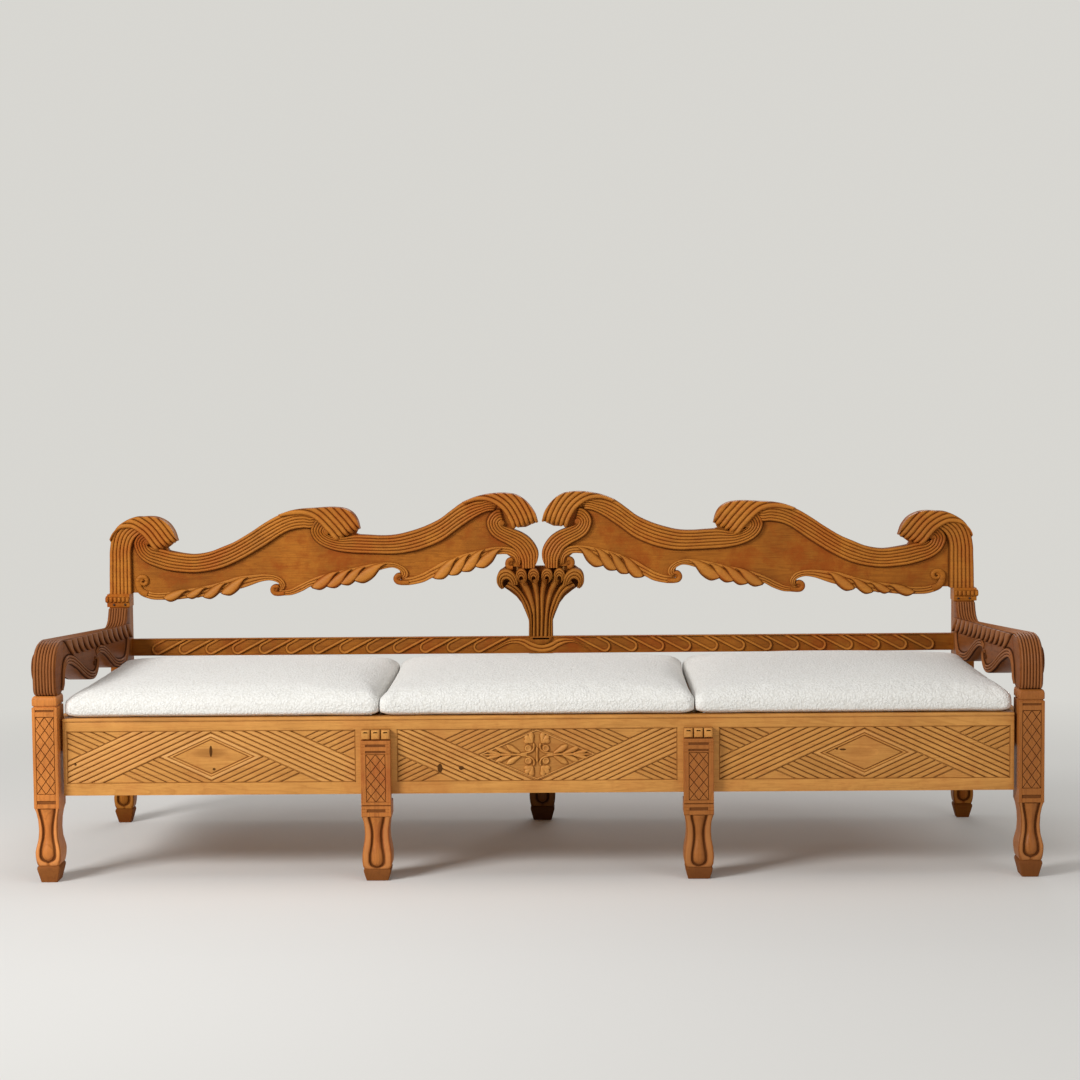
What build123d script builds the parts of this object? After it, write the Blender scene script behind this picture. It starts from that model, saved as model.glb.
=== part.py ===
"""Pull-out bench bed: a carved pine settle whose seat front draws forward on its own legs.

Millimetres. X runs along the bench, -Y is the front, +Z is up.
The origin is on the floor, in the middle of the length and of the depth.
"""
from build123d import *
import os

os.makedirs("parts", exist_ok=True)

# ---------------------------------------------------------------- overall sizes
bench_length = 2400.0          # over the two front posts
bench_depth = 800.0            # front of the arm scrolls to back of the rear posts
deck_height = 392.0            # top of the slats and of the seat edge, above the floor

# ---------------------------------------------------------------- clearances
running_gap = 0.5              # between what slides and what it slides on or past
peg_gap = 0.05                 # round a peg, dowel or nail, on the radius
tenon_gap = 0.1                # round a tenon in its mortise
cushion_gap = 0.3              # under a cushion

# ---------------------------------------------------------------- posts and legs
post_width = 60.0
post_depth = 75.0
post_block_bottom = 180.0      # where the square of a front post ends and its leg begins
post_over_deck = 57.0
post_cap_chamfer = 5.0
rear_post_width = 54.0
rear_post_depth = 52.0
rear_block_bottom = 172.0
leg_neck_inset = 8.0           # each side, at the narrowest part of a leg
leg_foot_inset = 7.0           # each side, at the floor
foot_height = 38.0
mid_leg_centre = 383.5         # from the middle of the bench
mid_leg_width = 71.0
mid_leg_depth = 70.0
mid_leg_block_bottom = 155.0
mid_leg_shoulder_drop = 18.0   # bottom of the seat front down to the full depth of the leg
mid_leg_facing_top = 55.0      # deck down to the top of the facing
centre_leg_width = 70.0

# ---------------------------------------------------------------- arms
scroll_overhang = 8.0          # arm scroll in front of its post
arm_splay = 40.0               # how much nearer the middle an arm ends at the back
arm_back_width = 56.0
arm_rise = 139.0               # top of front post to top of rear post

# ---------------------------------------------------------------- back
capital_height = 34.0
capital_out = 10.0             # beyond the outer face of its post
capital_front = 12.0           # before the front face of its post
capital_bead_height = 16.0
capital_bead_round = 6.4
capital_fillet_out = 5.0       # the plain part, beyond the post
capital_neck_height = 5.0      # plain neck over the bead
capital_inward = 2.0           # beyond the inner face of its post
capital_nail_offsets = (14.0, 44.0)    # from the outer face of the post
crest_thickness = 50.0
crest_setback = 6.0            # crest front before the rear post front, towards the seat
splat_head_rise = 61.0         # crest seat to top of the splat
splat_width = 70.0
splat_head_half = 116.0
splat_thickness = 32.0
splat_head_front = 26.0        # how far the curled head comes forward of the shaft
splat_tail = 12.0              # below the back rail
mid_rail_drop = 90.0           # top of rear post down to top of back rail
mid_rail_height = 45.0
mid_rail_thickness = 24.0
mid_rail_setback = 14.0        # behind the rear post front

# ---------------------------------------------------------------- fixed under-frame
side_rail_thickness = 20.0
side_rail_height = 178.0
side_rail_drop = 8.0           # deck down to the top of a side rail
rear_rail_thickness = 28.0
rear_rail_height = 95.0
rear_rail_setback = 17.0       # behind the rear post front
bearer_depth = 35.0
bearer_height = 74.0
bearer_behind_plank = 49.0     # plank back to bearer front
centre_bearer_width = 40.0
centre_bearer_height = 42.0
centre_bearer_gap = 4.0        # under the tail bar that passes over it
rear_ledger_depth = 40.0
rear_ledger_height = 30.0

# ---------------------------------------------------------------- slats
slat_width = 62.0
slat_thickness = 18.0
slat_least_gap = 10.0          # between two slats side by side
slat_side_gap = 8.0            # outermost slat to side rail
slat_tail_gap = 8.0            # tails of the drawn-out slats to the rear post front
fixed_slat_back_gap = 3.0
tail_bar_depth = 28.0
tail_bar_height = 30.0
tail_bar_to_ledger = 7.0
tail_notch_side = 3.0          # room beside a fixed slat in its notch
tail_notch_depth = 2.5
stop_gap = 5.0                 # tail bar to bearer when drawn right out

# ---------------------------------------------------------------- seat front
plank_setback = 25.0           # behind the front of the posts
plank_thickness = 28.0
plank_height = 178.5
plank_end_gap = 7.0            # to the side of each front post
seat_edge_thickness = 7.5
seat_edge_overhang = 4.0
seat_edge_depth = 36.0
slat_ledger_depth = 28.0
slat_ledger_height = 30.0
panel_recess = 6.0
panel_below_plank_top = 23.5
panel_above_plank_bottom = 29.0
panel_end_margin = 9.0
panel_leg_margin = 14.0
head_block_width = 17.0
head_block_height = 23.0
head_block_gap = 4.0
head_block_depth = 20.0
head_block_count = 3
head_block_line = 30.0         # deck down to the top of the blocks

# ---------------------------------------------------------------- joinery
tenon_length = 25.0
tenon_thickness = 10.0
side_tenon_shoulder = 22.0     # above and below a side rail's tenon
cross_tenon_shoulder = 0.16    # share of a back rail's height above and below its tenon
peg_radius = 5.0
dowel_radius = 6.0
dowel_half = 22.0
crest_dowel_x = 62.0           # dowels between the splat and the crest, from the middle
crest_dowel_forward = 8.0      # before the middle of the splat's thickness
side_peg_levels = (0.3, 0.7)   # shares of a side rail's height
peg_short = 2.0                # end of a peg to the far face of its post or rail
rear_peg_past_rail = 10.0      # beyond the inner face of the side rail
rear_peg_inset = 30.0          # from the top and bottom of the rear seat rail
nail_radius = 2.0
nail_head_radius = 2.8
nail_head_height = 1.2

# ---------------------------------------------------------------- cushions
cushion_count = 3
cushion_between = 2.0
cushion_end_gap = 12.0         # end cushion to the side of a front post
cushion_front_overhang = 5.0   # in front of the plank
cushion_back_gap = 8.0         # behind, to the rear post front
cushion_side_height = 38.0
cushion_front_height = 55.0
cushion_back_height = 42.0
cushion_crown_height = 90.0
cushion_corner = 30.0

# ---------------------------------------------------------------- worked-out places
half_length = bench_length / 2
rear_half = half_length - arm_splay
post_inner = half_length - post_width
rear_inner = rear_half - rear_post_width
scroll_front_y = -bench_depth / 2
post_front_y = scroll_front_y + scroll_overhang
post_back_y = post_front_y + post_depth
rear_back_y = bench_depth / 2
rear_front_y = rear_back_y - rear_post_depth
post_top = deck_height + post_over_deck
rear_post_top = post_top + arm_rise
crest_seat = rear_post_top + capital_height
splat_top = crest_seat + splat_head_rise
mid_rail_top = rear_post_top - mid_rail_drop
mid_rail_bottom = mid_rail_top - mid_rail_height
mid_rail_front_y = rear_front_y + mid_rail_setback
plank_front_y = post_front_y + plank_setback
plank_back_y = plank_front_y + plank_thickness
plank_half = post_inner - plank_end_gap
plank_top = deck_height - seat_edge_thickness
plank_bottom = plank_top - plank_height
seat_edge_front_y = plank_front_y - seat_edge_overhang
seat_edge_back_y = seat_edge_front_y + seat_edge_depth
slat_bottom = deck_height - slat_thickness
fixed_slat_bottom = slat_bottom - running_gap
bearer_front_y = plank_back_y + bearer_behind_plank
bearer_back_y = bearer_front_y + bearer_depth
rear_rail_front_y = rear_front_y + rear_rail_setback
rear_rail_top = deck_height
rear_rail_bottom = rear_rail_top - rear_rail_height
side_rail_top = deck_height - side_rail_drop
side_rail_bottom = side_rail_top - side_rail_height
side_rail_inner = post_inner
side_rail_outer = side_rail_inner + side_rail_thickness
rear_ledger_front_y = rear_rail_front_y - rear_ledger_depth
tail_bar_back_y = rear_ledger_front_y - tail_bar_to_ledger
tail_bar_front_y = tail_bar_back_y - tail_bar_depth
pull_travel = tail_bar_front_y - bearer_back_y - stop_gap
slat_zone_half = side_rail_inner - slat_side_gap
slats_that_fit = int((2 * slat_zone_half + slat_least_gap) // (slat_width + slat_least_gap))
slat_positions = slats_that_fit - (slats_that_fit + 1) % 2    # odd: one more drawn out than fixed
slat_pitch = (2 * slat_zone_half - slat_width) / (slat_positions - 1)
panel_bottom = plank_bottom + panel_above_plank_bottom
panel_top = plank_top - panel_below_plank_top
mid_leg_inner = mid_leg_centre - mid_leg_width / 2
mid_leg_outer = mid_leg_centre + mid_leg_width / 2
mid_leg_shoulder = plank_bottom - mid_leg_shoulder_drop


# ---------------------------------------------------------------- shape helpers
def box(x0, x1, y0, y1, z0, z1):
    """A block from its two corners."""
    middle = Location(((x0 + x1) / 2, (y0 + y1) / 2, (z0 + z1) / 2))
    return middle * Box(abs(x1 - x0), abs(y1 - y0), abs(z1 - z0))


def round_bar(start, along, radius, length):
    """A cylinder from start, in the direction along."""
    return Solid.make_cylinder(radius, length, Plane(origin=start, z_dir=along))


def mirrored(shape):
    """The right-hand piece made from the left-hand one."""
    return mirror(shape, Plane.YZ)


def prism(runs, place, direction):
    """A board: a closed outline of straight and curved runs, carried along a direction.

    Each run is a kind, "line" or "curve", and its points; it starts where the last one ended.
    """
    edges = []
    last = runs[-1][1][-1]
    for kind, points in runs:
        chain = [place(*last)] + [place(*point) for point in points]
        if kind == "curve":
            edges.append(Edge.make_spline(chain))
        else:
            for start, end in zip(chain, chain[1:]):
                if (end - start).length > 1e-6:
                    edges.append(Edge.make_line(start, end))
        last = points[-1]
    return Solid.extrude(Face(Wire(edges)), Vector(*direction))


def front_view(y):
    """Places outline points (x, z) on the plane at y."""
    return lambda x, z: Vector(x, y, z)


def side_view(x):
    """Places outline points (y, z) on the plane at x."""
    return lambda y, z: Vector(x, y, z)


def plan_view(z):
    """Places outline points (x, y) on the plane at z."""
    return lambda x, y: Vector(x, y, z)


def leg_outline(low, high, block_bottom, top):
    """One face of a leg: tapered foot, round belly, slim neck, and the square block above."""
    neck_z = foot_height + 0.62 * (block_bottom - foot_height)
    belly_z = foot_height + 0.25 * (block_bottom - foot_height)
    return [
        ("line", [(high - leg_foot_inset, 0), (high, foot_height)]),
        ("curve", [(high, belly_z), (high - leg_neck_inset, neck_z), (high - 2, block_bottom)]),
        ("line", [(high, block_bottom), (high, top), (low, top), (low, block_bottom), (low + 2, block_bottom)]),
        ("curve", [(low + leg_neck_inset, neck_z), (low, belly_z), (low, foot_height)]),
        ("line", [(low + leg_foot_inset, 0)]),
    ]


def carved_post(x0, x1, y0, y1, block_bottom, top):
    """A square post with a shaped leg: the front outline crossed with the side outline."""
    wide = prism(leg_outline(x0, x1, block_bottom, top), front_view(y0), (0, y1 - y0, 0))
    deep = prism(leg_outline(y0, y1, block_bottom, top), side_view(x0), (x1 - x0, 0, 0))
    return wide & deep


def only_solid(shape):
    """The single solid of a result that may be wrapped in a compound."""
    solids = shape.solids()
    return solids[0] if len(solids) == 1 else Compound(children=list(solids))


def save(name, shape):
    """Writes one node: a single solid, or a group of solids."""
    if isinstance(shape, (list, tuple)):
        shape = Compound(children=[only_solid(item) for item in shape])
    else:
        shape = only_solid(shape)
    export_step(shape, f"parts/{name}.step")


# ---------------------------------------------------------------- pegs and dowels
side_peg_length = post_width - peg_short
rear_peg_length = rear_half - side_rail_inner + rear_peg_past_rail
cross_peg_length = rear_post_depth - mid_rail_setback - peg_short
peg_rows = []                  # (start, direction, length) of every peg through a tenon
for side in (-1, 1):
    for level in side_peg_levels:
        peg_z = side_rail_bottom + level * side_rail_height
        front_peg = (side * half_length, post_back_y - tenon_length / 2, peg_z)
        rear_peg = (side * rear_half, rear_front_y + tenon_length / 2, peg_z)
        peg_rows.append((front_peg, (-side, 0, 0), side_peg_length))
        peg_rows.append((rear_peg, (-side, 0, 0), rear_peg_length))
    rail_peg_x = side * (rear_inner + tenon_length / 2)
    mid_rail_z = (mid_rail_top + mid_rail_bottom) / 2
    for peg_z in (rear_rail_bottom + rear_peg_inset, rear_rail_top - rear_peg_inset, mid_rail_z):
        peg_rows.append(((rail_peg_x, rear_back_y, peg_z), (0, -1, 0), cross_peg_length))


def pegs(extra_radius=0.0):
    """Every tenon peg, or with extra radius the holes for them."""
    return [round_bar(start, along, peg_radius + extra_radius, length) for start, along, length in peg_rows]


dowel_rows = [
    (half_length - post_width / 2, (post_front_y + post_back_y) / 2, post_top),
    (crest_dowel_x, rear_back_y - splat_thickness / 2 - crest_dowel_forward, splat_top),
    (rear_half - rear_post_width / 2, (rear_front_y + rear_back_y) / 2, crest_seat),
    (rear_half - rear_post_width / 2, (rear_front_y + rear_back_y) / 2, rear_post_top),
]


def dowel(row, side, extra=0.0):
    """An upright dowel across the joint at row, or with extra the hole for it."""
    x, y, z = row
    half = min(dowel_half, capital_height / 2 - 1.0) if row in dowel_rows[2:] else dowel_half
    return round_bar((side * x, y, z - half - extra), (0, 0, 1), dowel_radius + extra, 2 * (half + extra))


peg_holes = pegs(peg_gap)


def drilled(shape, holes):
    """The shape with each hole that meets it cut out."""
    limits = shape.bounding_box()
    for hole in holes:
        reach = hole.bounding_box()
        apart = (
            reach.min.X > limits.max.X or reach.max.X < limits.min.X
            or reach.min.Y > limits.max.Y or reach.max.Y < limits.min.Y
            or reach.min.Z > limits.max.Z or reach.max.Z < limits.min.Z
        )
        if not apart:
            shape = shape - hole
    return shape


# ---------------------------------------------------------------- tenons
def side_tenon(end_y, toward, extra=0.0):
    """The left side rail's tenon from its end at end_y; extra makes its mortise."""
    middle = -(side_rail_inner + side_rail_outer) / 2
    half = tenon_thickness / 2 + extra
    far = end_y + toward * (tenon_length + extra)
    low = side_rail_bottom + side_tenon_shoulder - extra
    high = side_rail_top - side_tenon_shoulder + extra
    return box(middle - half, middle + half, min(end_y, far), max(end_y, far), low, high)


def cross_tenon(front_y, thickness, bottom, top, extra=0.0):
    """The tenon at the left end of a rail along the back; extra makes its mortise."""
    middle = front_y + thickness / 2
    half = tenon_thickness / 2 + extra
    inset = cross_tenon_shoulder * (top - bottom)
    far = -rear_inner - tenon_length - extra
    return box(far, -rear_inner, middle - half, middle + half, bottom + inset - extra, top - inset + extra)


# ---------------------------------------------------------------- front posts
post = carved_post(-half_length, -post_inner, post_front_y, post_back_y, post_block_bottom, post_top)
top_edges = post.edges().filter_by(lambda edge: edge.bounding_box().min.Z > post_top - 0.01)
post = chamfer(top_edges, post_cap_chamfer)
post = post - side_tenon(post_back_y, -1, tenon_gap)
post = drilled(post, peg_holes + [dowel(dowel_rows[0], -1, peg_gap)])
save("front_post_left", post)
save("front_post_right", mirrored(post))

# ---------------------------------------------------------------- rear posts
rear_post = carved_post(-rear_half, -rear_inner, rear_front_y, rear_back_y, rear_block_bottom, rear_post_top)
rear_post = rear_post - side_tenon(rear_front_y, 1, tenon_gap)
rear_post = rear_post - cross_tenon(
    rear_rail_front_y, rear_rail_thickness, rear_rail_bottom, rear_rail_top, tenon_gap)
rear_post = rear_post - cross_tenon(
    mid_rail_front_y, mid_rail_thickness, mid_rail_bottom, mid_rail_top, tenon_gap)
rear_post = drilled(rear_post, peg_holes + [dowel(dowel_rows[3], -1, peg_gap)])
save("rear_post_left", rear_post)
save("rear_post_right", mirrored(rear_post))

# ---------------------------------------------------------------- arms
ARM_NOSE = -400.0              # the drawn arm outline's own scroll front, post back and rear post front
ARM_FRONT = -317.0
ARM_BACK = 348.0
ARM_SEAT = 449.0
scroll_stretch = (post_back_y - scroll_front_y) / (ARM_FRONT - ARM_NOSE)
arm_stretch = (rear_front_y - post_back_y) / (ARM_BACK - ARM_FRONT)
arm_height_stretch = arm_rise / 139.0


def arm_place(x):
    """Carries the drawn arm outline to this bench's depth and height."""
    def place(y, z):
        if y < ARM_FRONT:
            placed_y = post_back_y + (y - ARM_FRONT) * scroll_stretch
        else:
            placed_y = post_back_y + (y - ARM_FRONT) * arm_stretch
        return Vector(x, placed_y, post_top + (z - ARM_SEAT) * arm_height_stretch)
    return place


arm_outline = [
    ("line", [(-384, 449)]),
    ("curve", [(-396, 460), (-400, 485), (-400, 525), (-392, 558), (-374, 574), (-350, 578)]),
    ("line", [(258, 541)]),
    ("curve", [(285, 545), (306, 560), (318, 588)]),
    ("line", [(348, 588), (348, 440), (252, 440)]),
    ("curve", [(215, 441), (170, 450), (130, 466), (88, 485), (48, 499), (12, 504)]),
    ("line", [(2, 490), (4, 476)]),
    ("curve", [(-6, 460), (-24, 448), (-52, 445), (-92, 452), (-142, 469), (-192, 490), (-242, 507),
               (-277, 512), (-302, 504), (-313, 486), (-316, 470)]),
    ("curve", [(-322, 457), (-336, 449)]),
]
arm_board = prism(arm_outline, arm_place(-half_length), (2 * post_width + arm_splay, 0, 0))
arm_plan = [
    ("line", [(-half_length, scroll_front_y), (-half_length, post_back_y)]),
    ("line", [(-rear_half, rear_front_y), (-rear_half + arm_back_width, rear_front_y)]),
    ("line", [(-post_inner, post_back_y), (-post_inner, scroll_front_y)]),
]
arm = arm_board & prism(arm_plan, plan_view(post_top - 50), (0, 0, arm_rise + 100))
arm = drilled(arm, [dowel(dowel_rows[0], -1, peg_gap)])
save("arm_left", arm)
save("arm_right", mirrored(arm))

# ---------------------------------------------------------------- capitals
capital_outer = rear_half + capital_out
capital_inner = rear_inner - capital_inward
fillet_front_y = rear_front_y - capital_fillet_out
bead_top = crest_seat - capital_neck_height
bead_block = box(-capital_outer, -capital_inner, rear_front_y - capital_front, rear_back_y,
                 bead_top - capital_bead_height, bead_top)
bead_edges = bead_block.edges().filter_by(Axis.X).sort_by(Axis.Y)[:2]
bead_block = fillet(bead_edges, capital_bead_round)
fillet_block = box(-rear_half - capital_fillet_out, -capital_inner, fillet_front_y, rear_back_y,
                   rear_post_top, crest_seat)
capital = fillet_block + bead_block
capital = drilled(capital, [dowel(dowel_rows[2], -1, peg_gap), dowel(dowel_rows[3], -1, peg_gap)])
save("capital_left", capital)
save("capital_right", mirrored(capital))

capital_nails = []
for side in (-1, 1):
    for offset in capital_nail_offsets:
        nail_z = (rear_post_top + bead_top - capital_bead_height) / 2
        nail_face = (side * (rear_half - offset), fillet_front_y, nail_z)
        capital_nails.append(round_bar(nail_face, (0, -1, 0), nail_head_radius, nail_head_height))
save("capital_nails", capital_nails)

# ---------------------------------------------------------------- crest
CREST_HALF = 1160.0            # the drawn crest outline's own half length and seat
CREST_SEAT = 622.0
crest_stretch = rear_half / CREST_HALF
crest_front_y = rear_front_y - crest_setback
crest_outline = [
    # end stile and the first lock of hair-like curls
    ("line", [(1160, 622), (1159, 680)]),
    ("curve", [(1157, 740), (1152, 775), (1127, 805), (1102, 822), (1057, 831), (1012, 822),
               (988, 798), (976, 768)]),
    ("line", [(984, 758), (1000, 745), (997, 740)]),
    # long wave up to the middle lock
    ("curve", [(957, 728), (927, 727), (867, 741), (807, 767), (747, 806), (687, 838), (657, 845)]),
    ("curve", [(617, 848), (564, 851), (527, 848), (507, 838), (492, 822), (484, 805), (485, 793)]),
    ("line", [(491, 780)]),
    # second wave up to the centre lock
    ("curve", [(447, 774), (417, 773), (387, 775), (347, 784), (307, 797), (267, 817), (237, 840),
               (197, 867), (147, 882)]),
    ("curve", [(107, 888), (62, 882), (37, 866), (19, 845), (7, 812)]),
    ("line", [(22, 798), (57, 791), (73, 790)]),
    # inner S band down to the joint in the middle
    ("curve", [(47, 778), (27, 764), (12, 745), (0, 720)]),
    ("line", [(0, 704), (17, 683), (94, 683), (96, 692), (88, 706)]),
    # underside: three arches with leaves between their hooked ends
    ("curve", [(94, 716), (110, 720), (130, 716), (152, 700), (165, 690)]),
    ("line", [(187, 690), (202, 676), (225, 675), (235, 666), (253, 667), (275, 652), (294, 657)]),
    ("curve", [(332, 644), (364, 641), (392, 649), (400, 663), (392, 674), (378, 678)]),
    ("curve", [(384, 685), (400, 687), (417, 685), (442, 678), (463, 670)]),
    ("line", [(487, 652), (512, 656), (532, 644), (557, 637), (577, 643), (593, 632), (612, 629), (622, 637)]),
    ("curve", [(662, 621), (687, 617), (714, 618), (730, 630), (726, 642), (705, 645)]),
    ("curve", [(717, 655), (737, 657), (777, 649), (797, 640)]),
    ("line", [(815, 636), (840, 621), (869, 619), (897, 609), (934, 605), (959, 616), (972, 606)]),
    ("curve", [(1007, 604), (1037, 606), (1072, 618), (1077, 622)]),
]


def crest_place(side):
    """Carries the drawn crest outline to this bench's length and height."""
    return lambda u, z: Vector(side * u * crest_stretch, crest_front_y, crest_seat + z - CREST_SEAT)


def crest_half(side):
    """One half of the crest, drilled for its two dowels."""
    board = prism(crest_outline, crest_place(side), (0, crest_thickness, 0))
    return drilled(board, [dowel(dowel_rows[1], side, peg_gap), dowel(dowel_rows[2], side, peg_gap)])


save("crest_left", crest_half(-1))
save("crest_right", crest_half(1))

# ---------------------------------------------------------------- papyrus splat
splat_back_y = rear_back_y - 2.0
splat_front_y = splat_back_y - splat_thickness
shaft = splat_width / 2
head = splat_head_half
splat_bottom = mid_rail_bottom - splat_tail
splat_outline = [
    ("line", [(-shaft, splat_bottom), (-shaft, mid_rail_top + 47)]),
    ("curve", [(-50, splat_top - 107), (-75, splat_top - 66), (-100, splat_top - 52)]),
    ("curve", [(-head, splat_top - 44), (-head - 3, splat_top - 22), (-head + 8, splat_top)]),
    ("line", [(head - 8, splat_top)]),
    ("curve", [(head + 3, splat_top - 22), (head, splat_top - 44), (100, splat_top - 52)]),
    ("curve", [(75, splat_top - 66), (50, splat_top - 107), (shaft, mid_rail_top + 47)]),
    ("line", [(shaft, splat_bottom)]),
]
splat_board = prism(splat_outline, front_view(splat_front_y - splat_head_front),
                    (0, splat_thickness + splat_head_front, 0))
splat_side = [
    ("line", [(splat_back_y, splat_bottom), (splat_back_y, splat_top)]),
    ("line", [(splat_front_y - splat_head_front + 6, splat_top)]),
    ("curve", [(splat_front_y - splat_head_front, splat_top - 20), (splat_front_y - splat_head_front + 8, splat_top - 42),
               (splat_front_y, splat_top - 66)]),
    ("line", [(splat_front_y, splat_bottom)]),
]
splat = splat_board & prism(splat_side, side_view(-2 * head), (4 * head, 0, 0))
rail_housing = box(-2 * head, 2 * head, splat_front_y - splat_head_front, mid_rail_front_y + mid_rail_thickness,
                   mid_rail_bottom, mid_rail_top)
splat = splat - rail_housing
splat = drilled(splat, [dowel(dowel_rows[1], -1, peg_gap), dowel(dowel_rows[1], 1, peg_gap)])
save("papyrus_splat", splat)

# ---------------------------------------------------------------- rails along the back
mid_tenon = cross_tenon(mid_rail_front_y, mid_rail_thickness, mid_rail_bottom, mid_rail_top)
mid_rail = box(-rear_inner, rear_inner, mid_rail_front_y, mid_rail_front_y + mid_rail_thickness,
               mid_rail_bottom, mid_rail_top)
mid_rail = mid_rail + mid_tenon + mirrored(mid_tenon)
save("back_mid_rail", drilled(mid_rail, peg_holes))

rear_tenon = cross_tenon(rear_rail_front_y, rear_rail_thickness, rear_rail_bottom, rear_rail_top)
rear_rail = box(-rear_inner, rear_inner, rear_rail_front_y, rear_rail_front_y + rear_rail_thickness,
                rear_rail_bottom, rear_rail_top)
rear_rail = rear_rail + rear_tenon + mirrored(rear_tenon)
save("rear_seat_rail", drilled(rear_rail, peg_holes))

centre_leg = carved_post(-centre_leg_width / 2, centre_leg_width / 2, rear_front_y, rear_back_y,
                         rear_block_bottom, rear_rail_bottom)
save("centre_rear_leg", centre_leg)

rear_ledger = box(-rear_inner, rear_inner, rear_ledger_front_y, rear_rail_front_y,
                  fixed_slat_bottom - rear_ledger_height, fixed_slat_bottom)
save("rear_slat_ledger", rear_ledger)

# ---------------------------------------------------------------- side rails and bearers
side_rail = box(-side_rail_outer, -side_rail_inner, post_back_y, rear_front_y, side_rail_bottom, side_rail_top)
side_rail = side_rail + side_tenon(post_back_y, -1) + side_tenon(rear_front_y, 1)
side_rail = drilled(side_rail, peg_holes)
save("side_rail_left", side_rail)
save("side_rail_right", mirrored(side_rail))

front_bearer = box(-side_rail_inner, side_rail_inner, bearer_front_y, bearer_back_y,
                   fixed_slat_bottom - bearer_height, fixed_slat_bottom)
save("front_bearer", front_bearer)

centre_bearer_top = slat_bottom - tail_bar_height - centre_bearer_gap
centre_bearer = box(-centre_bearer_width / 2, centre_bearer_width / 2, bearer_back_y, rear_rail_front_y,
                    centre_bearer_top - centre_bearer_height, centre_bearer_top)
save("centre_bearer", centre_bearer)

# ---------------------------------------------------------------- slats and their nails
slat_centres = [-slat_zone_half + slat_width / 2 + index * slat_pitch for index in range(slat_positions)]
moving_centres = slat_centres[0::2]
fixed_centres = slat_centres[1::2]
slat_tail_y = rear_front_y - slat_tail_gap


def slat_set(centres, front_y, back_y, bottom, nail_lines):
    """Slats side by side with a nail hole at each line, and the nails that fill the holes."""
    slats = []
    nails = []
    for x in centres:
        slat = box(x - slat_width / 2, x + slat_width / 2, front_y, back_y, bottom, bottom + slat_thickness)
        for y in nail_lines:
            slat = slat - round_bar((x, y, bottom), (0, 0, 1), nail_radius + peg_gap, slat_thickness)
            nails.append(round_bar((x, y, bottom), (0, 0, 1), nail_radius, slat_thickness))
        slats.append(slat)
    return slats, nails


moving_lines = (plank_back_y + slat_ledger_depth / 2, (tail_bar_front_y + tail_bar_back_y) / 2)
moving_slats, moving_nails = slat_set(moving_centres, seat_edge_back_y, slat_tail_y, slat_bottom, moving_lines)
save("pull_out_slats", moving_slats)
save("pull_out_slat_nails", moving_nails)

fixed_back_y = rear_rail_front_y - fixed_slat_back_gap
fixed_lines = ((bearer_front_y + bearer_back_y) / 2, rear_ledger_front_y + rear_ledger_depth / 2)
fixed_slats, fixed_nails = slat_set(fixed_centres, bearer_front_y, fixed_back_y, fixed_slat_bottom, fixed_lines)
save("fixed_slats", fixed_slats)
save("fixed_slat_nails", fixed_nails)

# ---------------------------------------------------------------- pull-out front
plank = box(-plank_half, plank_half, plank_front_y, plank_back_y, plank_bottom, plank_top)
panel_spans = [
    (-plank_half + panel_end_margin, -mid_leg_outer - panel_leg_margin),
    (-mid_leg_inner + panel_leg_margin, mid_leg_inner - panel_leg_margin),
    (mid_leg_outer + panel_leg_margin, plank_half - panel_end_margin),
]
for left, right in panel_spans:
    plank = plank - box(left, right, plank_front_y, plank_front_y + panel_recess,
                        panel_bottom, panel_top)
save("front_plank", plank)

seat_edge = box(-plank_half, plank_half, seat_edge_front_y, seat_edge_back_y, plank_top, deck_height)
save("seat_edge_strip", seat_edge)

slat_ledger = box(-plank_half, plank_half, plank_back_y, plank_back_y + slat_ledger_depth,
                  slat_bottom - slat_ledger_height, slat_bottom)
save("slat_ledger", slat_ledger)

tail_bar = box(-slat_zone_half, slat_zone_half, tail_bar_front_y, tail_bar_back_y,
               slat_bottom - tail_bar_height, slat_bottom)
for x in fixed_centres:
    notch_half = slat_width / 2 + tail_notch_side
    tail_bar = tail_bar - box(x - notch_half, x + notch_half, tail_bar_front_y, tail_bar_back_y,
                              slat_bottom - tail_notch_depth, slat_bottom)
save("slat_tail_bar", tail_bar)

leg_back_y = post_front_y + mid_leg_depth
mid_leg = carved_post(-mid_leg_outer, -mid_leg_inner, post_front_y, leg_back_y,
                      mid_leg_block_bottom, deck_height - mid_leg_facing_top)
mid_leg = mid_leg - box(-mid_leg_outer, -mid_leg_inner, plank_front_y, leg_back_y,
                        mid_leg_shoulder, deck_height)
save("mid_leg_left", mid_leg)
save("mid_leg_right", mirrored(mid_leg))

block_top = deck_height - head_block_line
blocks = []
block_step = head_block_width + head_block_gap
for index in range(head_block_count):
    x = -mid_leg_centre + (index - (head_block_count - 1) / 2) * block_step
    blocks.append(box(x - head_block_width / 2, x + head_block_width / 2, plank_front_y - head_block_depth,
                      plank_front_y, block_top - head_block_height, block_top))
save("leg_head_blocks_left", blocks)
save("leg_head_blocks_right", [mirrored(block) for block in blocks])

# ---------------------------------------------------------------- pegs and dowels
save("tenon_pegs", pegs())
save("arm_dowels", [dowel(dowel_rows[0], side) for side in (-1, 1)])
save("crest_dowels", [dowel(row, side) for row in dowel_rows[1:] for side in (-1, 1)])

# ---------------------------------------------------------------- cushions
cushion_row = 2 * (post_inner - cushion_end_gap)
cushion_width = (cushion_row - (cushion_count - 1) * cushion_between) / cushion_count
cushion_front_y = plank_front_y - cushion_front_overhang
cushion_back_y = rear_front_y - cushion_back_gap
cushion_bottom = deck_height + cushion_gap


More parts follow.
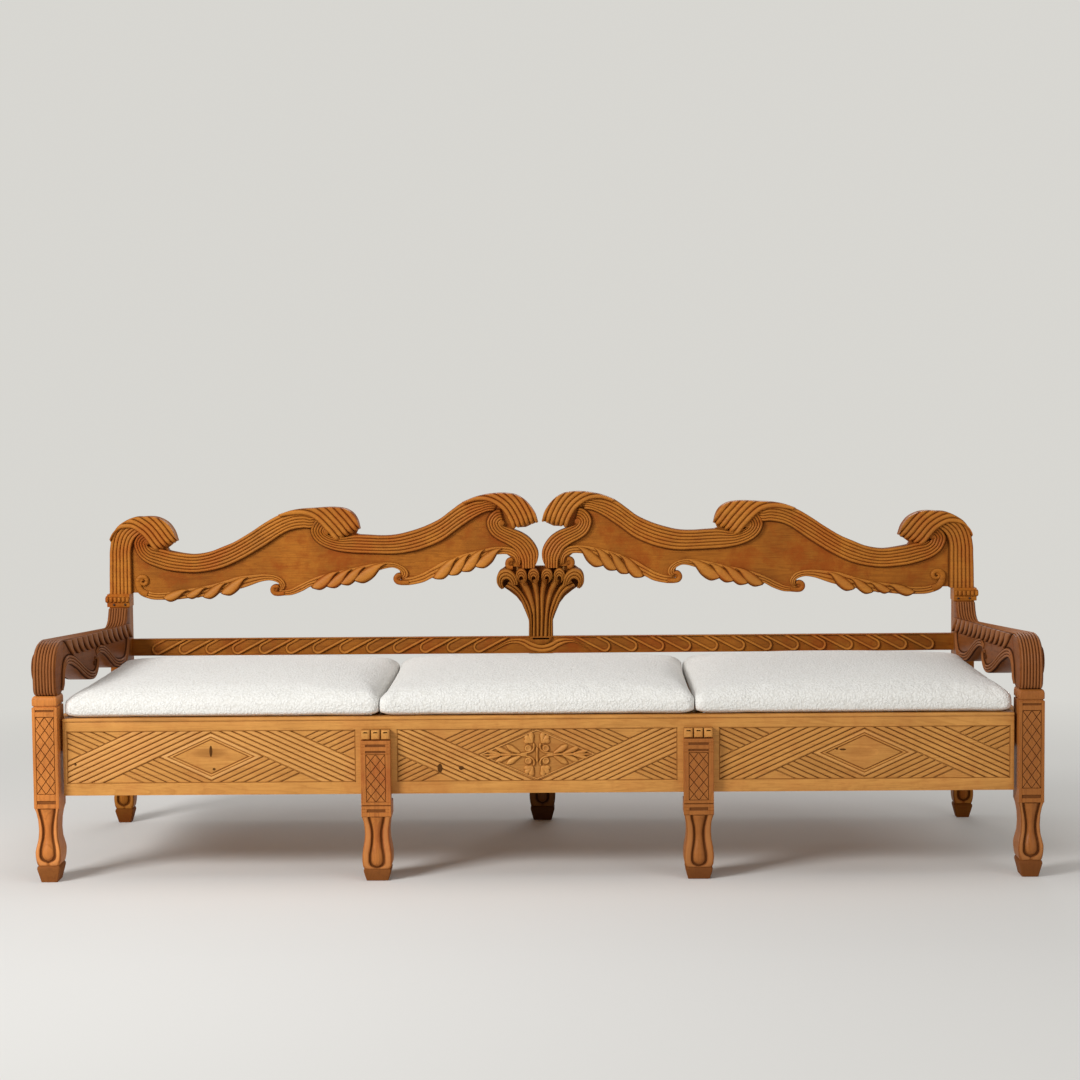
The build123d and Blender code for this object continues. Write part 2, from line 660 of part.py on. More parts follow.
def cushion(x):
    """A crowned seat cushion: the crown seen from the front crossed with the crown seen from the side."""
    low = x - cushion_width / 2
    high = x + cushion_width / 2
    crown = cushion_bottom + cushion_crown_height
    side_z = cushion_bottom + cushion_side_height
    wide = prism([
        ("line", [(low, cushion_bottom), (high, cushion_bottom), (high, side_z)]),
        ("curve", [(x, crown), (low, side_z)]),
    ], front_view(cushion_front_y), (0, cushion_back_y - cushion_front_y, 0))
    middle_y = (cushion_front_y + cushion_back_y) / 2
    deep = prism([
        ("line", [(cushion_front_y, cushion_bottom), (cushion_back_y, cushion_bottom),
                  (cushion_back_y, cushion_bottom + cushion_back_height)]),
        ("curve", [(middle_y, crown), (cushion_front_y, cushion_bottom + cushion_front_height)]),
    ], side_view(low), (high - low, 0, 0))
    pad = wide & deep
    corners = pad.edges().filter_by(Axis.Z)
    return fillet(corners, cushion_corner)


for name, step in (("cushion_left", -1), ("cushion_centre", 0), ("cushion_right", 1)):
    save(name, cushion(step * (cushion_width + cushion_between)))

print("pull-out travel", pull_travel)
print("slat pitch", round(slat_pitch, 2), "gap", round(slat_pitch - slat_width, 2))
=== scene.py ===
"""Carved pine bench bed: the finished look of every piece, built around the packed frame.

Every outline below is in millimetres in the frame's own axes: X along the bench, -Y the front, +Z up.
"""
import math

import bmesh
import bpy
import numpy as np
from mathutils import Matrix, Vector


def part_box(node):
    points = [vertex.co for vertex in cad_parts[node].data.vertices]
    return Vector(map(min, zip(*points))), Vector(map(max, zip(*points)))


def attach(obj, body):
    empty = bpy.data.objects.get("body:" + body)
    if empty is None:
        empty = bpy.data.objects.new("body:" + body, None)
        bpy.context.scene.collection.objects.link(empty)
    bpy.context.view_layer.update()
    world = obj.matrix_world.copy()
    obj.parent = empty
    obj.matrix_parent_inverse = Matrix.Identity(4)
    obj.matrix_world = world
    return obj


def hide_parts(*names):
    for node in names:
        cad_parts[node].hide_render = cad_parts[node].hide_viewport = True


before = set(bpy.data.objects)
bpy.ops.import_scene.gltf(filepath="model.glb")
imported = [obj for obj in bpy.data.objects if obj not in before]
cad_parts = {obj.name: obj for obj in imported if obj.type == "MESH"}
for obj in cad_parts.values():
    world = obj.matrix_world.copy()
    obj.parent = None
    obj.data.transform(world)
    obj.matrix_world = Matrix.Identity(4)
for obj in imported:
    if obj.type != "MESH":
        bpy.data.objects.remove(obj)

bl_info = {
    "name": "Carved bench bed",
    "version": (1, 0, 0),
    "blender": (4, 5, 0),
    "location": "3D view > Sidebar > Bench",
    "description": "Builds the carved bench bed around its packed frame",
    "category": "Object",
}

MM = 0.001
FIXED = "bench_frame"
PULLED = "pull_out_front"


# ------------------------------------------------------------------ sizes and colours
class BenchSizes(bpy.types.PropertyGroup):
    """Carving sizes that a user would change."""

    reed_height: bpy.props.FloatProperty(
        name="Reed height", description="How far a reed rounds up from its grooves",
        default=0.0038, unit="LENGTH", subtype="DISTANCE")
    crest_ground: bpy.props.FloatProperty(
        name="Crest ground", description="How far the crest's plain ground lies behind its front",
        default=0.024, unit="LENGTH", subtype="DISTANCE")
    band_lift: bpy.props.FloatProperty(
        name="Band lift", description="How far the crest's reeded bands stand before the ground",
        default=0.0095, unit="LENGTH", subtype="DISTANCE")
    edge_ease: bpy.props.FloatProperty(
        name="Eased edge", description="Bevel on the sawn edges of the plain boards",
        default=0.0012, unit="LENGTH", subtype="DISTANCE")
    gadroon_count: bpy.props.IntProperty(
        name="Gadroons", description="Gadroons along the inner face of each arm", default=13, min=1)
    strap_count: bpy.props.IntProperty(
        name="Straps", description="Slanted straps on each half of the back rail", default=13, min=1)
    bead_count: bpy.props.IntProperty(
        name="Capital beads", description="Beads along each face of a capital", default=6, min=1)
    cushion_voxel: bpy.props.FloatProperty(
        name="Cushion mesh", description="Cell size of the cushions before the cloth is blown up",
        default=0.008, unit="LENGTH", subtype="DISTANCE")
    cushion_pressure: bpy.props.FloatProperty(
        name="Cushion pressure", description="Air pressure that swells each cushion", default=4.0)
    cushion_swell: bpy.props.FloatProperty(
        name="Cushion swell", description="The furthest that the cloth may move",
        default=0.014, unit="LENGTH", subtype="DISTANCE")


def colour(name, description, value):
    """A colour that a user may change."""
    return bpy.props.FloatVectorProperty(
        name=name, description=description, default=value, size=3, subtype="COLOR", min=0.0, max=1.0)


class BenchColours(bpy.types.PropertyGroup):
    """Finishes of the woods, the iron and the cloth."""

    honey: colour("Honey pine", "Seat front, posts and mid legs", (0.66, 0.31, 0.075))
    honey_dark: colour("Honey pine, dark", "Late wood and grime in the honey pine", (0.33, 0.12, 0.02))
    brown: colour("Brown pine", "Crest, splat and back rail", (0.50, 0.172, 0.021))
    brown_dark: colour("Brown pine, dark", "Late wood and grime in the brown pine", (0.15, 0.038, 0.006))
    arm: colour("Arm wood", "Red-brown polish of the arms", (0.255, 0.080, 0.018))
    arm_dark: colour("Arm wood, dark", "Grain and grooves of the arms", (0.055, 0.016, 0.006))
    plain: colour("Plain pine", "Unfinished wood under the seat", (0.55, 0.30, 0.10))
    plain_dark: colour("Plain pine, dark", "Late wood of the unfinished pine", (0.30, 0.14, 0.04))
    iron: colour("Iron", "Forged nails", (0.045, 0.038, 0.034))
    cloth: colour("Cloth", "Looped wool of the cushions", (0.87, 0.86, 0.825))
    cloth_shade: colour("Cloth, shaded", "Between the loops of the wool", (0.66, 0.635, 0.58))
    posts: colour("Post pine", "Darker, redder finish of the posts and mid legs", (0.53, 0.185, 0.038))
    posts_dark: colour("Post pine, dark", "Late wood and grime in the posts", (0.20, 0.058, 0.010))
    backdrop: colour("Backdrop", "What the camera sees behind the bench", (0.685, 0.675, 0.64))
    floor: colour("Floor", "Pale floor", (0.78, 0.77, 0.75))


def sizes():
    """The carving sizes of this scene."""
    return bpy.context.scene.bench_sizes


def extent(node):
    """Lowest and highest corner of a frame node, in millimetres."""
    low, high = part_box(node)
    return np.array(low) / MM, np.array(high) / MM


def hand(side):
    """The word for a side: -1 is the left one, 1 the right one."""
    return "left" if side < 0 else "right"


# ------------------------------------------------------------------ curves
TINY = 1e-9                    # keeps a vector of no length from dividing by zero


def at(x, y, z):
    """Points from x, y and z, each one number or an array."""
    return np.stack(np.broadcast_arrays(x, y, z), -1)


def unit(vectors):
    """The same directions, each one long."""
    return vectors / np.maximum(np.linalg.norm(vectors, axis=-1, keepdims=True), TINY)


def leftwards(directions):
    """Directions in a plane, turned a quarter to the left."""
    return np.stack([-directions[:, 1], directions[:, 0]], 1)


def run_along(points):
    """The length of a line up to each of its points."""
    return np.concatenate([[0], np.cumsum(np.linalg.norm(np.diff(points, axis=0), axis=1))])


def spline_at(points, steps):
    """Points of the smooth curve through the given points, at positions counted in points."""
    points = np.asarray(points, float)
    padded = np.vstack([2 * points[0] - points[1], points, 2 * points[-1] - points[-2]])
    index = np.clip(np.floor(steps).astype(int), 0, len(points) - 2)
    t = (steps - index)[:, None]
    p0, p1, p2, p3 = (padded[index + k] for k in range(4))
    return 0.5 * (2 * p1 + (p2 - p0) * t + (2 * p0 - 5 * p1 + 4 * p2 - p3) * t ** 2
                  + (3 * p1 - p0 - 3 * p2 + p3) * t ** 3)


def even_steps(points, count):
    """Positions, counted in points, that lie evenly along the smooth curve through the points."""
    dense = np.linspace(0, len(points) - 1, 12 * len(points))
    length = run_along(spline_at(points, dense))
    return np.interp(np.linspace(0, length[-1], count), length, dense)


def smooth_path(points, count):
    """Evenly spaced points along the smooth curve through the given points."""
    return spline_at(points, even_steps(points, count))


def spiral(centre, start_radius, end_radius, start_angle, turns, count=14):
    """Points of a spiral in a plane; angles in degrees, a negative number of turns runs clockwise."""
    share = np.linspace(0, 1, count)
    radius = start_radius + (end_radius - start_radius) * share
    angle = np.radians(start_angle) + 2 * math.pi * turns * share
    return [(centre[0] + r * math.cos(a), centre[1] + r * math.sin(a)) for r, a in zip(radius, angle)]


def oval(centre, wide, tall, count=16):
    """The outline of an oval pad; wide and tall are its half sizes."""
    return np.array(spiral((0, 0), 1, 1, 0, (count - 1) / count, count)) * (wide, tall) + centre


def disc(centre, radius, count=16):
    """The outline of a round pad."""
    return oval(centre, radius, radius, count)


def ease(value, low, high):
    """0 below low, 1 above high, smooth between them."""
    t = np.clip((np.asarray(value, float) - low) / (high - low), 0, 1)
    return t * t * (3 - 2 * t)


def clip_outline(outline, a, b, limit):
    """The part of a convex outline where a * x + b * y is at most the limit."""
    kept = []
    for start, end in zip(outline, outline[1:] + outline[:1]):
        before = a * start[0] + b * start[1] - limit
        after = a * end[0] + b * end[1] - limit
        if before <= 0:
            kept.append(start)
        if before * after < 0:
            t = before / (before - after)
            kept.append((start[0] + t * (end[0] - start[0]), start[1] + t * (end[1] - start[1])))
    return kept


def inset_outline(outline, distance):
    """An outline, counter-clockwise, moved inwards; a sharp corner moves no further than distance / 0.35."""
    points = np.asarray(outline, float)
    before = unit(points - np.roll(points, 1, axis=0))
    after = unit(np.roll(points, -1, axis=0) - points)
    normal = unit(leftwards(before) + leftwards(after))
    stretch = np.maximum((normal * leftwards(after)).sum(1), 0.35)
    return points + normal * (distance / stretch)[:, None]


# ------------------------------------------------------------------ carving
MERGE_WITHIN = 2e-5            # metres between two points of a frame mesh that are one


def merged_copy(node):
    """A copy of a frame node's mesh with its doubles merged; whoever asks for it frees it."""
    copy = bmesh.new()
    copy.from_mesh(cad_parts[node].data)
    bmesh.ops.remove_doubles(copy, verts=copy.verts, dist=MERGE_WITHIN)
    return copy


def on_front(front_y):
    """Relief on a face that looks to the front: along, up and how far it stands out."""
    return lambda along, up, out: at(along, front_y - out, up)


FLAT = math.radians(1.5)       # faces that meet at less are one flat face
SAWN = math.radians(40)        # edges sharper than this are eased
SMOOTH = math.radians(38)      # faces that meet at less are shaded as one


class Carving:
    """The closed parts of one piece, gathered in millimetres, with how hollow each point is."""

    def __init__(self):
        self.points = []
        self.faces = []
        self.hollow = []
        self.count = 0

    def add(self, points, faces, hollow):
        """Adds a closed part and turns its faces outwards."""
        points = np.asarray(points, float)
        middle = points.mean(0)
        volume = 0.0
        for face in faces:
            corners = points[list(face)] - middle
            volume += np.dot(corners[0], np.cross(corners[1:-1], corners[2:]).sum(0))
        if volume < 0:
            faces = [tuple(face)[::-1] for face in faces]
        self.faces.extend(tuple(self.count + int(index) for index in face) for face in faces)
        self.points.append(points)
        self.hollow.append(np.broadcast_to(hollow, len(points)))
        self.count += len(points)

    def tube(self, rings, hollow=0.0):
        """A closed part from rings of points, capped at both ends."""
        rings = np.asarray(rings, float)
        rows, columns = rings.shape[:2]
        faces = []
        for row in range(rows - 1):
            for column in range(columns):
                nearby = (column + 1) % columns
                faces.append((row * columns + column, row * columns + nearby,
                              (row + 1) * columns + nearby, (row + 1) * columns + column))
        faces.append(tuple(range(columns))[::-1])
        faces.append(tuple((rows - 1) * columns + column for column in range(columns)))
        self.add(rings.reshape(-1, 3), faces, np.broadcast_to(hollow, (rows, columns)).ravel())

    def pad(self, place, outline, levels, hollows=None):
        """A raised pad: an outline carried through levels of inset and height."""
        rings = []
        for inset, height in levels:
            ring = inset_outline(outline, inset)
            rings.append(place(ring[:, 0], ring[:, 1], height))
        shade = np.zeros(len(levels)) if hollows is None else np.asarray(hollows, float)
        self.tube(rings, np.repeat(shade[:, None], len(outline), 1))

    def strip(self, place, flat, out, low, hollow, deep):
        """A closed strip: rows of places and heights in front, a flat back at one depth, shaded deep."""
        front = place(flat[..., 0], flat[..., 1], out)
        back = [place(flat[:, column, 0], flat[:, column, 1], low)[:, None] for column in (-1, 0)]
        shade = np.concatenate([hollow, np.full((len(flat), 2), deep)], 1)
        self.tube(np.concatenate([front, *back], 1), shade)

    def core(self, node, change=None, bevel=0.0, hollow=0.0):
        """A merged copy of a frame node, with its points changed, its edges eased."""
        copy = merged_copy(node)
        bmesh.ops.dissolve_limit(copy, angle_limit=FLAT, verts=copy.verts, edges=copy.edges)
        if change:
            for vertex in copy.verts:
                vertex.co = Vector(change(np.array(vertex.co) / MM)) * MM
        if bevel:
            sharp = [edge for edge in copy.edges
                     if len(edge.link_faces) == 2 and edge.calc_face_angle(0) > SAWN]
            bmesh.ops.bevel(copy, geom=sharp, offset=bevel, segments=2, profile=0.6,
                            affect="EDGES", clamp_overlap=True)
        copy.verts.index_update()
        points = np.array([vertex.co for vertex in copy.verts]) / MM
        faces = [tuple(vertex.index for vertex in face.verts) for face in copy.faces]
        self.add(points, faces, hollow)
        copy.free()


REED_SAMPLES = np.array([0.0, 0.07, 0.22, 0.5, 0.78, 0.93])   # places across one reed
REED_ROUND = 0.55              # power that squares up a reed's rounded section
STROKE_SAMPLES = np.array([-1, -0.92, -0.72, -0.4, 0, 0.4, 0.72, 0.92, 1])
FALLOFF = 1.6                  # how fast the painted shade of a groove fades up its sides
CUT_OFF_STEP = 0.03            # between columns that a band's second edge has cut off


def reed_section(reeds):
    """Across a reeded face: places from 0 to 1, height of each, and how hollow it is."""
    across = np.concatenate([(k + REED_SAMPLES) / reeds for k in range(reeds)] + [[1.0]])
    share = across * reeds
    arch = np.abs(np.sin(math.pi * share))
    arch[np.abs(share - np.round(share)) < 1e-6] = 0.0
    height = arch ** REED_ROUND
    return across, height, np.clip(1.0 - FALLOFF * height, -0.3, 1)


def band(carving, place, rungs, reeds, lift, reed, stations=80, low=-6.0, crown=0.0, rise=0.0, roll=0.0,
         tips=0.0, lean=0.0, least=0.0, rim=0.5, start_shade=0.0, dirt_and_shade=0.0):
    """A reeded band between two edges that are tied together by rungs.

    rise and roll are the shares of the length over which it comes up and rolls down, crown bulges its
    middle, tips lets each reed end in a round tip, and lean lowers its second edge. Where the band is too
    narrow for reeds of the least width, they keep it and the second edge cuts them off. rim is how
    hollow the two edges are, dim darkens the beginning and dirt the whole band.
    """
    first = np.array([rung[0] for rung in rungs], float)
    second = np.array([rung[1] for rung in rungs], float)
    steps = even_steps(0.85 * first + 0.15 * second, stations)
    edge_a, edge_b = spline_at(first, steps), spline_at(second, steps)
    across, height, hollow = reed_section(reeds)
    hollow[[0, -1]] = rim
    width = np.linalg.norm(edge_b - edge_a, axis=1)[:, None]
    full = np.maximum(width, reeds * least)
    from_a = np.minimum(across * full, width - CUT_OFF_STEP * np.arange(len(across))[::-1])
    height, hollow = np.interp(from_a / full, across, height), np.interp(from_a / full, across, hollow)
    across = from_a / width
    length_share = np.linspace(0, 1, stations)[:, None]
    # The band is painted darker as shade, most near its start.
    hollow = hollow + dirt_and_shade + start_shade * (1 - ease(length_share, 0.02, 0.16))
    flat = edge_a[:, None] + (edge_b - edge_a)[:, None] * across[..., None]
    up = np.ones((stations, 1))
    if rise:
        up = up * (0.25 + 0.75 * ease(length_share, 0, rise))
    if roll:
        end = np.clip((length_share - (1 - roll)) / roll, 0, 1)
        up = up * np.sqrt(np.maximum(1 - 0.9 * end ** 2, 0.02))
    if tips:
        near_end = ease(length_share, 1 - max(roll, 0.12), 1)
        flat = flat + unit(np.gradient(flat, axis=0)) * (near_end * tips * height)[..., None]
    bulge = crown * np.sin(math.pi * across) - lean * across
    carving.strip(place, flat, (lift + bulge) * up + reed * height * np.sqrt(up), low, hollow, 0.7)


def stroke(carving, place, path, widths, height, stations=26, low=-4.0, lift=0.0, round_ends=(True, True),
           sunk=False):
    """A rounded stroke along a path; widths are half widths along it, and a sunk one is all hollow."""
    steps = even_steps(path, stations)
    line = spline_at(path, steps)
    widths = np.interp(steps, np.linspace(0, len(path) - 1, len(widths)), widths)
    side = leftwards(unit(np.gradient(line, axis=0)))
    run = run_along(line)
    full = np.ones(stations)
    for is_round, from_end in zip(round_ends, (run, run[-1] - run)):
        if is_round:
            share = np.clip(from_end / max(widths.max(), 1.0), 0.02, 1)
            full = full * np.sqrt(np.clip(1 - (1 - share) ** 2, 0, 1))
    arch = np.sqrt(1 - STROKE_SAMPLES ** 2)
    hollow = np.ones_like(arch) if sunk else np.clip(1 - FALLOFF * arch, 0, 1)
    flat = line[:, None] + side[:, None] * (widths * full)[:, None, None] * STROKE_SAMPLES[None, :, None]
    out = lift + height * full[:, None] * arch[None, :]
    carving.strip(place, flat, out, low, np.repeat(hollow[None], stations, 0), 1)


def groove_shade(carving, place, rungs, edge, half_wide, stations=26):
    """A dark cut along a band's first (0) or second (1) edge."""
    stroke(carving, place, [rung[edge] for rung in rungs], (half_wide, half_wide), 0.5, stations=stations,
           low=-2, sunk=True)


RIDGE_STEPS = ((0.0, 0.0, 1.0), (0.07, 0.55, 0.6), (0.16, 0.88, 0.1), (0.34, 1.0, -0.15), (0.66, 0.98, -0.1),
               (0.84, 0.86, 0.0), (0.93, 0.5, 0.5), (1.0, 0.0, 1.0))   # share of the pitch, height, hollow


def ridge_patch(carving, place, outline, slope, start, pitch, low, base, top, dirt_and_shade=0.0):
    """Straight ridges that fill a convex outline; ridge lines keep up - slope * along constant."""
    offsets = [point[1] - slope * point[0] for point in outline]
    first = math.floor((min(offsets) - start) / pitch)
    last = math.ceil((max(offsets) - start) / pitch)
    for ridge in range(first, last):
        foot = start + ridge * pitch
        strip = clip_outline(clip_outline(outline, -slope, 1, foot + pitch), slope, -1, -foot)
        for step, after in zip(RIDGE_STEPS, RIDGE_STEPS[1:]):
            near, far = foot + step[0] * pitch, foot + after[0] * pitch
            cell = clip_outline(clip_outline(strip, -slope, 1, far), slope, -1, -near)
            if len(cell) < 3:
                continue
            cell = np.array(cell)
            share = ((cell[:, 1] - slope * cell[:, 0]) - near) / (far - near)
            out = base + (top - base) * (step[1] + (after[1] - step[1]) * share)
            shade = dirt_and_shade + step[2] + (after[2] - step[2]) * share
            rings = [place(cell[:, 0], cell[:, 1], low), place(cell[:, 0], cell[:, 1], out)]
            carving.tube(rings, np.stack([shade, shade]))


def square_stack(carving, levels, chamfer=2.0, dirty_below=0.0):
    """A square-sectioned upright: levels of height and low and high x and y; feet are darker with dirt."""
    rings = []
    for z, x0, x1, y0, y1 in levels:
        c = min(chamfer, (x1 - x0) / 4)
        rings.append([(x, y, z) for x, y in ((x0 + c, y0), (x1 - c, y0), (x1, y0 + c), (x1, y1 - c),
                                             (x1 - c, y1), (x0 + c, y1), (x0, y1 - c), (x0, y0 + c))])
    dirt_and_shade = [[0.8 if level[0] < dirty_below else 0.0] * 8 for level in levels]
    carving.tube(rings, np.array(dirt_and_shade))


def shaft(x0, x1, y0, y1, top):
    """Levels of a square shaft from its top down to where a leg's carving begins."""
    return [(top, x0, x1, y0, y1), (171, x0, x1, y0, y1), (169.5, x0 + 0.6, x1 - 0.6, y0, y1)]


def rectangle(x0, x1, z0, z1):
    """A rectangle's outline, counter-clockwise."""
    return [(x0, z0), (x1, z0), (x1, z1), (x0, z1)]


def rounded(half_x, half_y, radius, step):
    """A rectangle about the origin, counter-clockwise, its corners rounded in steps of so many degrees."""
    points = []
    for x, y, start in ((1, 1, 0), (-1, 1, 90), (-1, -1, 180), (1, -1, 270)):
        for turn in range(0, 91, step):
            angle = math.radians(start + turn)
            points.append((x * (half_x - radius) + radius * math.cos(angle),
                           y * (half_y - radius) + radius * math.sin(angle)))
    return points


def plate(carving, place, x0, x1, z0, z1, height, edge=0.8, shade=0.0):
    """A flat raised rectangle with eased edges."""
    levels = ((0, -2), (0, height - edge), (edge, height))
    carving.pad(place, rectangle(x0, x1, z0, z1), levels, [shade] * len(levels))


def bars(carving, place, half_wide, spans, *look):
    """Plates across the middle of a face, one for each span of heights."""
    for z0, z1 in spans:
        plate(carving, place, -half_wide, half_wide, z0, z1, *look)


# ------------------------------------------------------------------ making pieces
def put(name, data):
    """A new object in the scene."""
    thing = bpy.data.objects.new(name, data)
    bpy.context.scene.collection.objects.link(thing)
    return thing


def now(thing):
    """The mesh of an object with its modifiers at work."""
    return bpy.data.meshes.new_from_object(thing.evaluated_get(bpy.context.evaluated_depsgraph_get()))


def finish_mesh(mesh, material, sharp_angle=SMOOTH):
    """Gives a mesh its material and smooth faces between sharp edges."""
    mesh.materials.clear()
    mesh.materials.append(material)
    mesh.shade_smooth()
    mesh.set_sharp_from_angle(angle=sharp_angle)
    mesh.update()


def carved_mesh(name, carving):
    """The mesh of a carving, with its hollows kept as an attribute."""
    mesh = bpy.data.meshes.new(name)
    mesh.from_pydata((np.concatenate(carving.points) * MM).tolist(), [], carving.faces)
    shade = mesh.attributes.new("hollow", "FLOAT", "POINT")
    shade.data.foreach_set("value", np.concatenate(carving.hollow).astype(np.float32))
    return mesh


def show(name, mesh, body, slot, nodes):
    """Puts a finished mesh in the scene as a piece of the bench that stands for frame nodes."""
    piece = put(name, mesh)
    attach(piece, body)
    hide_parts(*nodes)


def carve(name, carving, wood, body, nodes):
    """Makes a carved piece in one of the woods."""
    mesh = carved_mesh(name, carving)
    finish_mesh(mesh, woods()[wood])
    show(name, mesh, body, WOODS[wood][0], nodes)


# ------------------------------------------------------------------ rows by geometry nodes
class Nodes:
    """A small helper that adds and links the nodes of one tree."""

    def __init__(self, tree):
        self.nodes = tree.nodes
        self.links = tree.links

    def node(self, kind, links=None, **values):
        """A new node with its settings, its socket values and its links."""
        made = self.nodes.new(kind)
        for key, value in values.items():
            if key in made.inputs:
                made.inputs[key].default_value = value
            else:
                setattr(made, key, value)
        for socket, source in (links or {}).items():
            self.links.new(source, made.inputs[socket])
        return made

    def maths(self, kind, first, second):
        """Arithmetic on two values or sockets."""
        made = self.node("ShaderNodeMath", operation=kind)
        for index, value in ((0, first), (1, second)):
            if isinstance(value, bpy.types.NodeSocket):
                self.links.new(value, made.inputs[index])
            else:
                made.inputs[index].default_value = value
        return made.outputs[0]

    def mix(self, factor, first, second):
        """Two colours, or a colour and a socket, mixed by a factor."""
        made = self.node("ShaderNodeMix", {0: factor}, data_type="RGBA")
        for index, value in ((6, first), (7, second)):
            if isinstance(value, bpy.types.NodeSocket):
                self.links.new(value, made.inputs[index])
            else:
                made.inputs[index].default_value = (*value, 1.0)
        return made.outputs[2]


PORTS = {"Geometry": "Geometry", "Material": "Material", "Count": "Int", "Seed": "Int", "Start": "Vector",
         "Step": "Vector", "Turn": "Vector", "Radius": "Float", "Height": "Float"}


def new_group(name, *inputs):
    """A node group with the named inputs, to be filled, and the sockets that give them."""
    tree = bpy.data.node_groups.new(name, "GeometryNodeTree")
    for port in ("Geometry", *inputs, "Material"):
        tree.interface.new_socket(port, in_out="INPUT", socket_type="NodeSocket" + PORTS[port])
    tree.interface.new_socket("Geometry", in_out="OUTPUT", socket_type="NodeSocketGeometry")
    kit = Nodes(tree)
    return kit, kit.node("NodeGroupInput").outputs


def end_group(kit, given, instances):
    """Ends a node group: real copies, painted with the given material."""
    real = kit.node("GeometryNodeRealizeInstances", {"Geometry": instances})
    painted = kit.node("GeometryNodeSetMaterial", {"Geometry": real.outputs[0],
                                                   "Material": given["Material"]})
    kit.node("NodeGroupOutput", {"Geometry": painted.outputs[0]})


def make_row_group(name):
    """A node group that repeats the object's own mesh in a straight row."""
    kit, given = new_group(name, "Count", "Start", "Step")
    line = kit.node("GeometryNodeMeshLine", {"Count": given["Count"], "Start Location": given["Start"],
                                             "Offset": given["Step"]})
    copies = kit.node("GeometryNodeInstanceOnPoints", {"Points": line.outputs["Mesh"],
                                                       "Instance": given["Geometry"]})
    end_group(kit, given, copies.outputs["Instances"])


def make_nail_group(name):
    """A node group that sets a forged nail head on every point of the object's mesh."""
    kit, given = new_group(name, "Radius", "Height", "Turn", "Seed")
    top = kit.maths("MULTIPLY", given["Radius"], 0.55)
    head = kit.node("GeometryNodeMeshCone", {"Radius Bottom": given["Radius"], "Radius Top": top,
                                             "Depth": given["Height"]}, Vertices=9)
    scatter = kit.node("FunctionNodeRandomValue", {"Seed": given["Seed"]}, data_type="FLOAT")
    for socket, share in ((2, 0.85), (3, 1.0)):        # the smallest and the largest head
        scatter.inputs[socket].default_value = share
    heads = kit.node("GeometryNodeInstanceOnPoints", {
        "Points": given["Geometry"], "Instance": head.outputs["Mesh"], "Rotation": given["Turn"],
        "Scale": scatter.outputs[1]})
    end_group(kit, given, heads.outputs["Instances"])


def grown(name, mesh, group, make_group, material, values):
    """The plain mesh that a node group makes from a mesh, with the given inputs."""
    if group not in bpy.data.node_groups:
        make_group(group)
    tree = bpy.data.node_groups[group]
    maker = put(name + "_maker", mesh)
    step = maker.modifiers.new("Grow", "NODES")
    step.node_group = tree
    sockets = {item.name: item.identifier for item in tree.interface.items_tree if item.in_out == "INPUT"}
    for socket, value in values.items():
        step[sockets[socket]] = value
    step[sockets["Material"]] = material
    made = now(maker)
    made.name = name
    bpy.data.objects.remove(maker)
    finish_mesh(made, material)
    return made


def row(name, carving, wood, body, count, step, nodes):
    """A row of one carved shape, a step in millimetres apart."""
    values = {"Count": count, "Start": Vector((0, 0, 0)), "Step": Vector(step) * MM}
    one = carved_mesh(name + "_one", carving)
    mesh = grown(name, one, "Row of pieces", make_row_group, woods()[wood], values)
    show(name, mesh, body, WOODS[wood][0], nodes)


# ------------------------------------------------------------------ materials
PINE = {"grime_and_shade": 0.6, "gloss": 0.62, "mottle": 0.2}
WOODS = {     # finish: slot, grain, tone, share of the tone, share of its dark, what sets it apart
    "honey_along": ("honey_pine", "x", "honey", 1.0, 1.0, {"groove_shade": 0.8}),
    "honey_up": ("honey_pine", "z", "posts", 1.0, 1.0, {"knots": 0.3, "stain": 0.5}),
    # Lit and shaded copies of the post pine for the left and right posts and mid legs: painted light and
    # shade.
    "honey_up_light": ("honey_pine", "z", "posts", 1.28, 1.0, {"knots": 0.3}),
    "honey_up_dark": ("honey_pine", "z", "posts", 0.74, 1.0, {"knots": 0.3}),
    "honey_deep": ("pine_plain", "y", "honey", 1.0, 1.0, {"knots": 0.3}),
    "peg_wood": ("pine_plain", "z", "honey", 0.8, 1.0, {"knots": 0.0, "gloss": 0.55}),
    "brown_along": ("brown_back_wood", "x", "brown", 1.0, 1.0,
                    {"grime_and_shade": 0.75, "knots": 0.35, "mottle": 0.55, "stain": 0.75, "shine": 0.08}),
    "brown_up": ("brown_back_wood", "z", "brown", 0.74, 1.0,
                 {"grime_and_shade": 0.75, "knots": 0.2, "stain": 0.6, "shine": 0.08}),
    # A much darker copy of the brown pine for the centre leg under the back: painted shade.
    "dark_up": ("brown_back_wood", "z", "brown", 0.30, 0.4, {"knots": 0.0}),
    "arm_wood": ("dark_arm_wood", "y", "arm", 1.0, 1.0,
                 {"knots": 0.0, "gloss": 0.36, "wear_and_highlight": 2.4, "shine": 0.05}),
    "plain_along": ("pine_plain", "x", "plain", 1.0, 1.0, PINE),
    "plain_deep": ("pine_plain", "y", "plain", 1.0, 1.0, PINE),
}
GRAIN = {"x": (0.9, 15.0, 15.0), "y": (15.0, 0.9, 15.0), "z": (15.0, 15.0, 0.9)}


def toned(colour, *shares):
    """A colour with its channels taken by their shares, or all by one share, up to full."""
    return tuple(min(1.0, share * part) for part, share in zip(colour, shares * (3 // len(shares))))


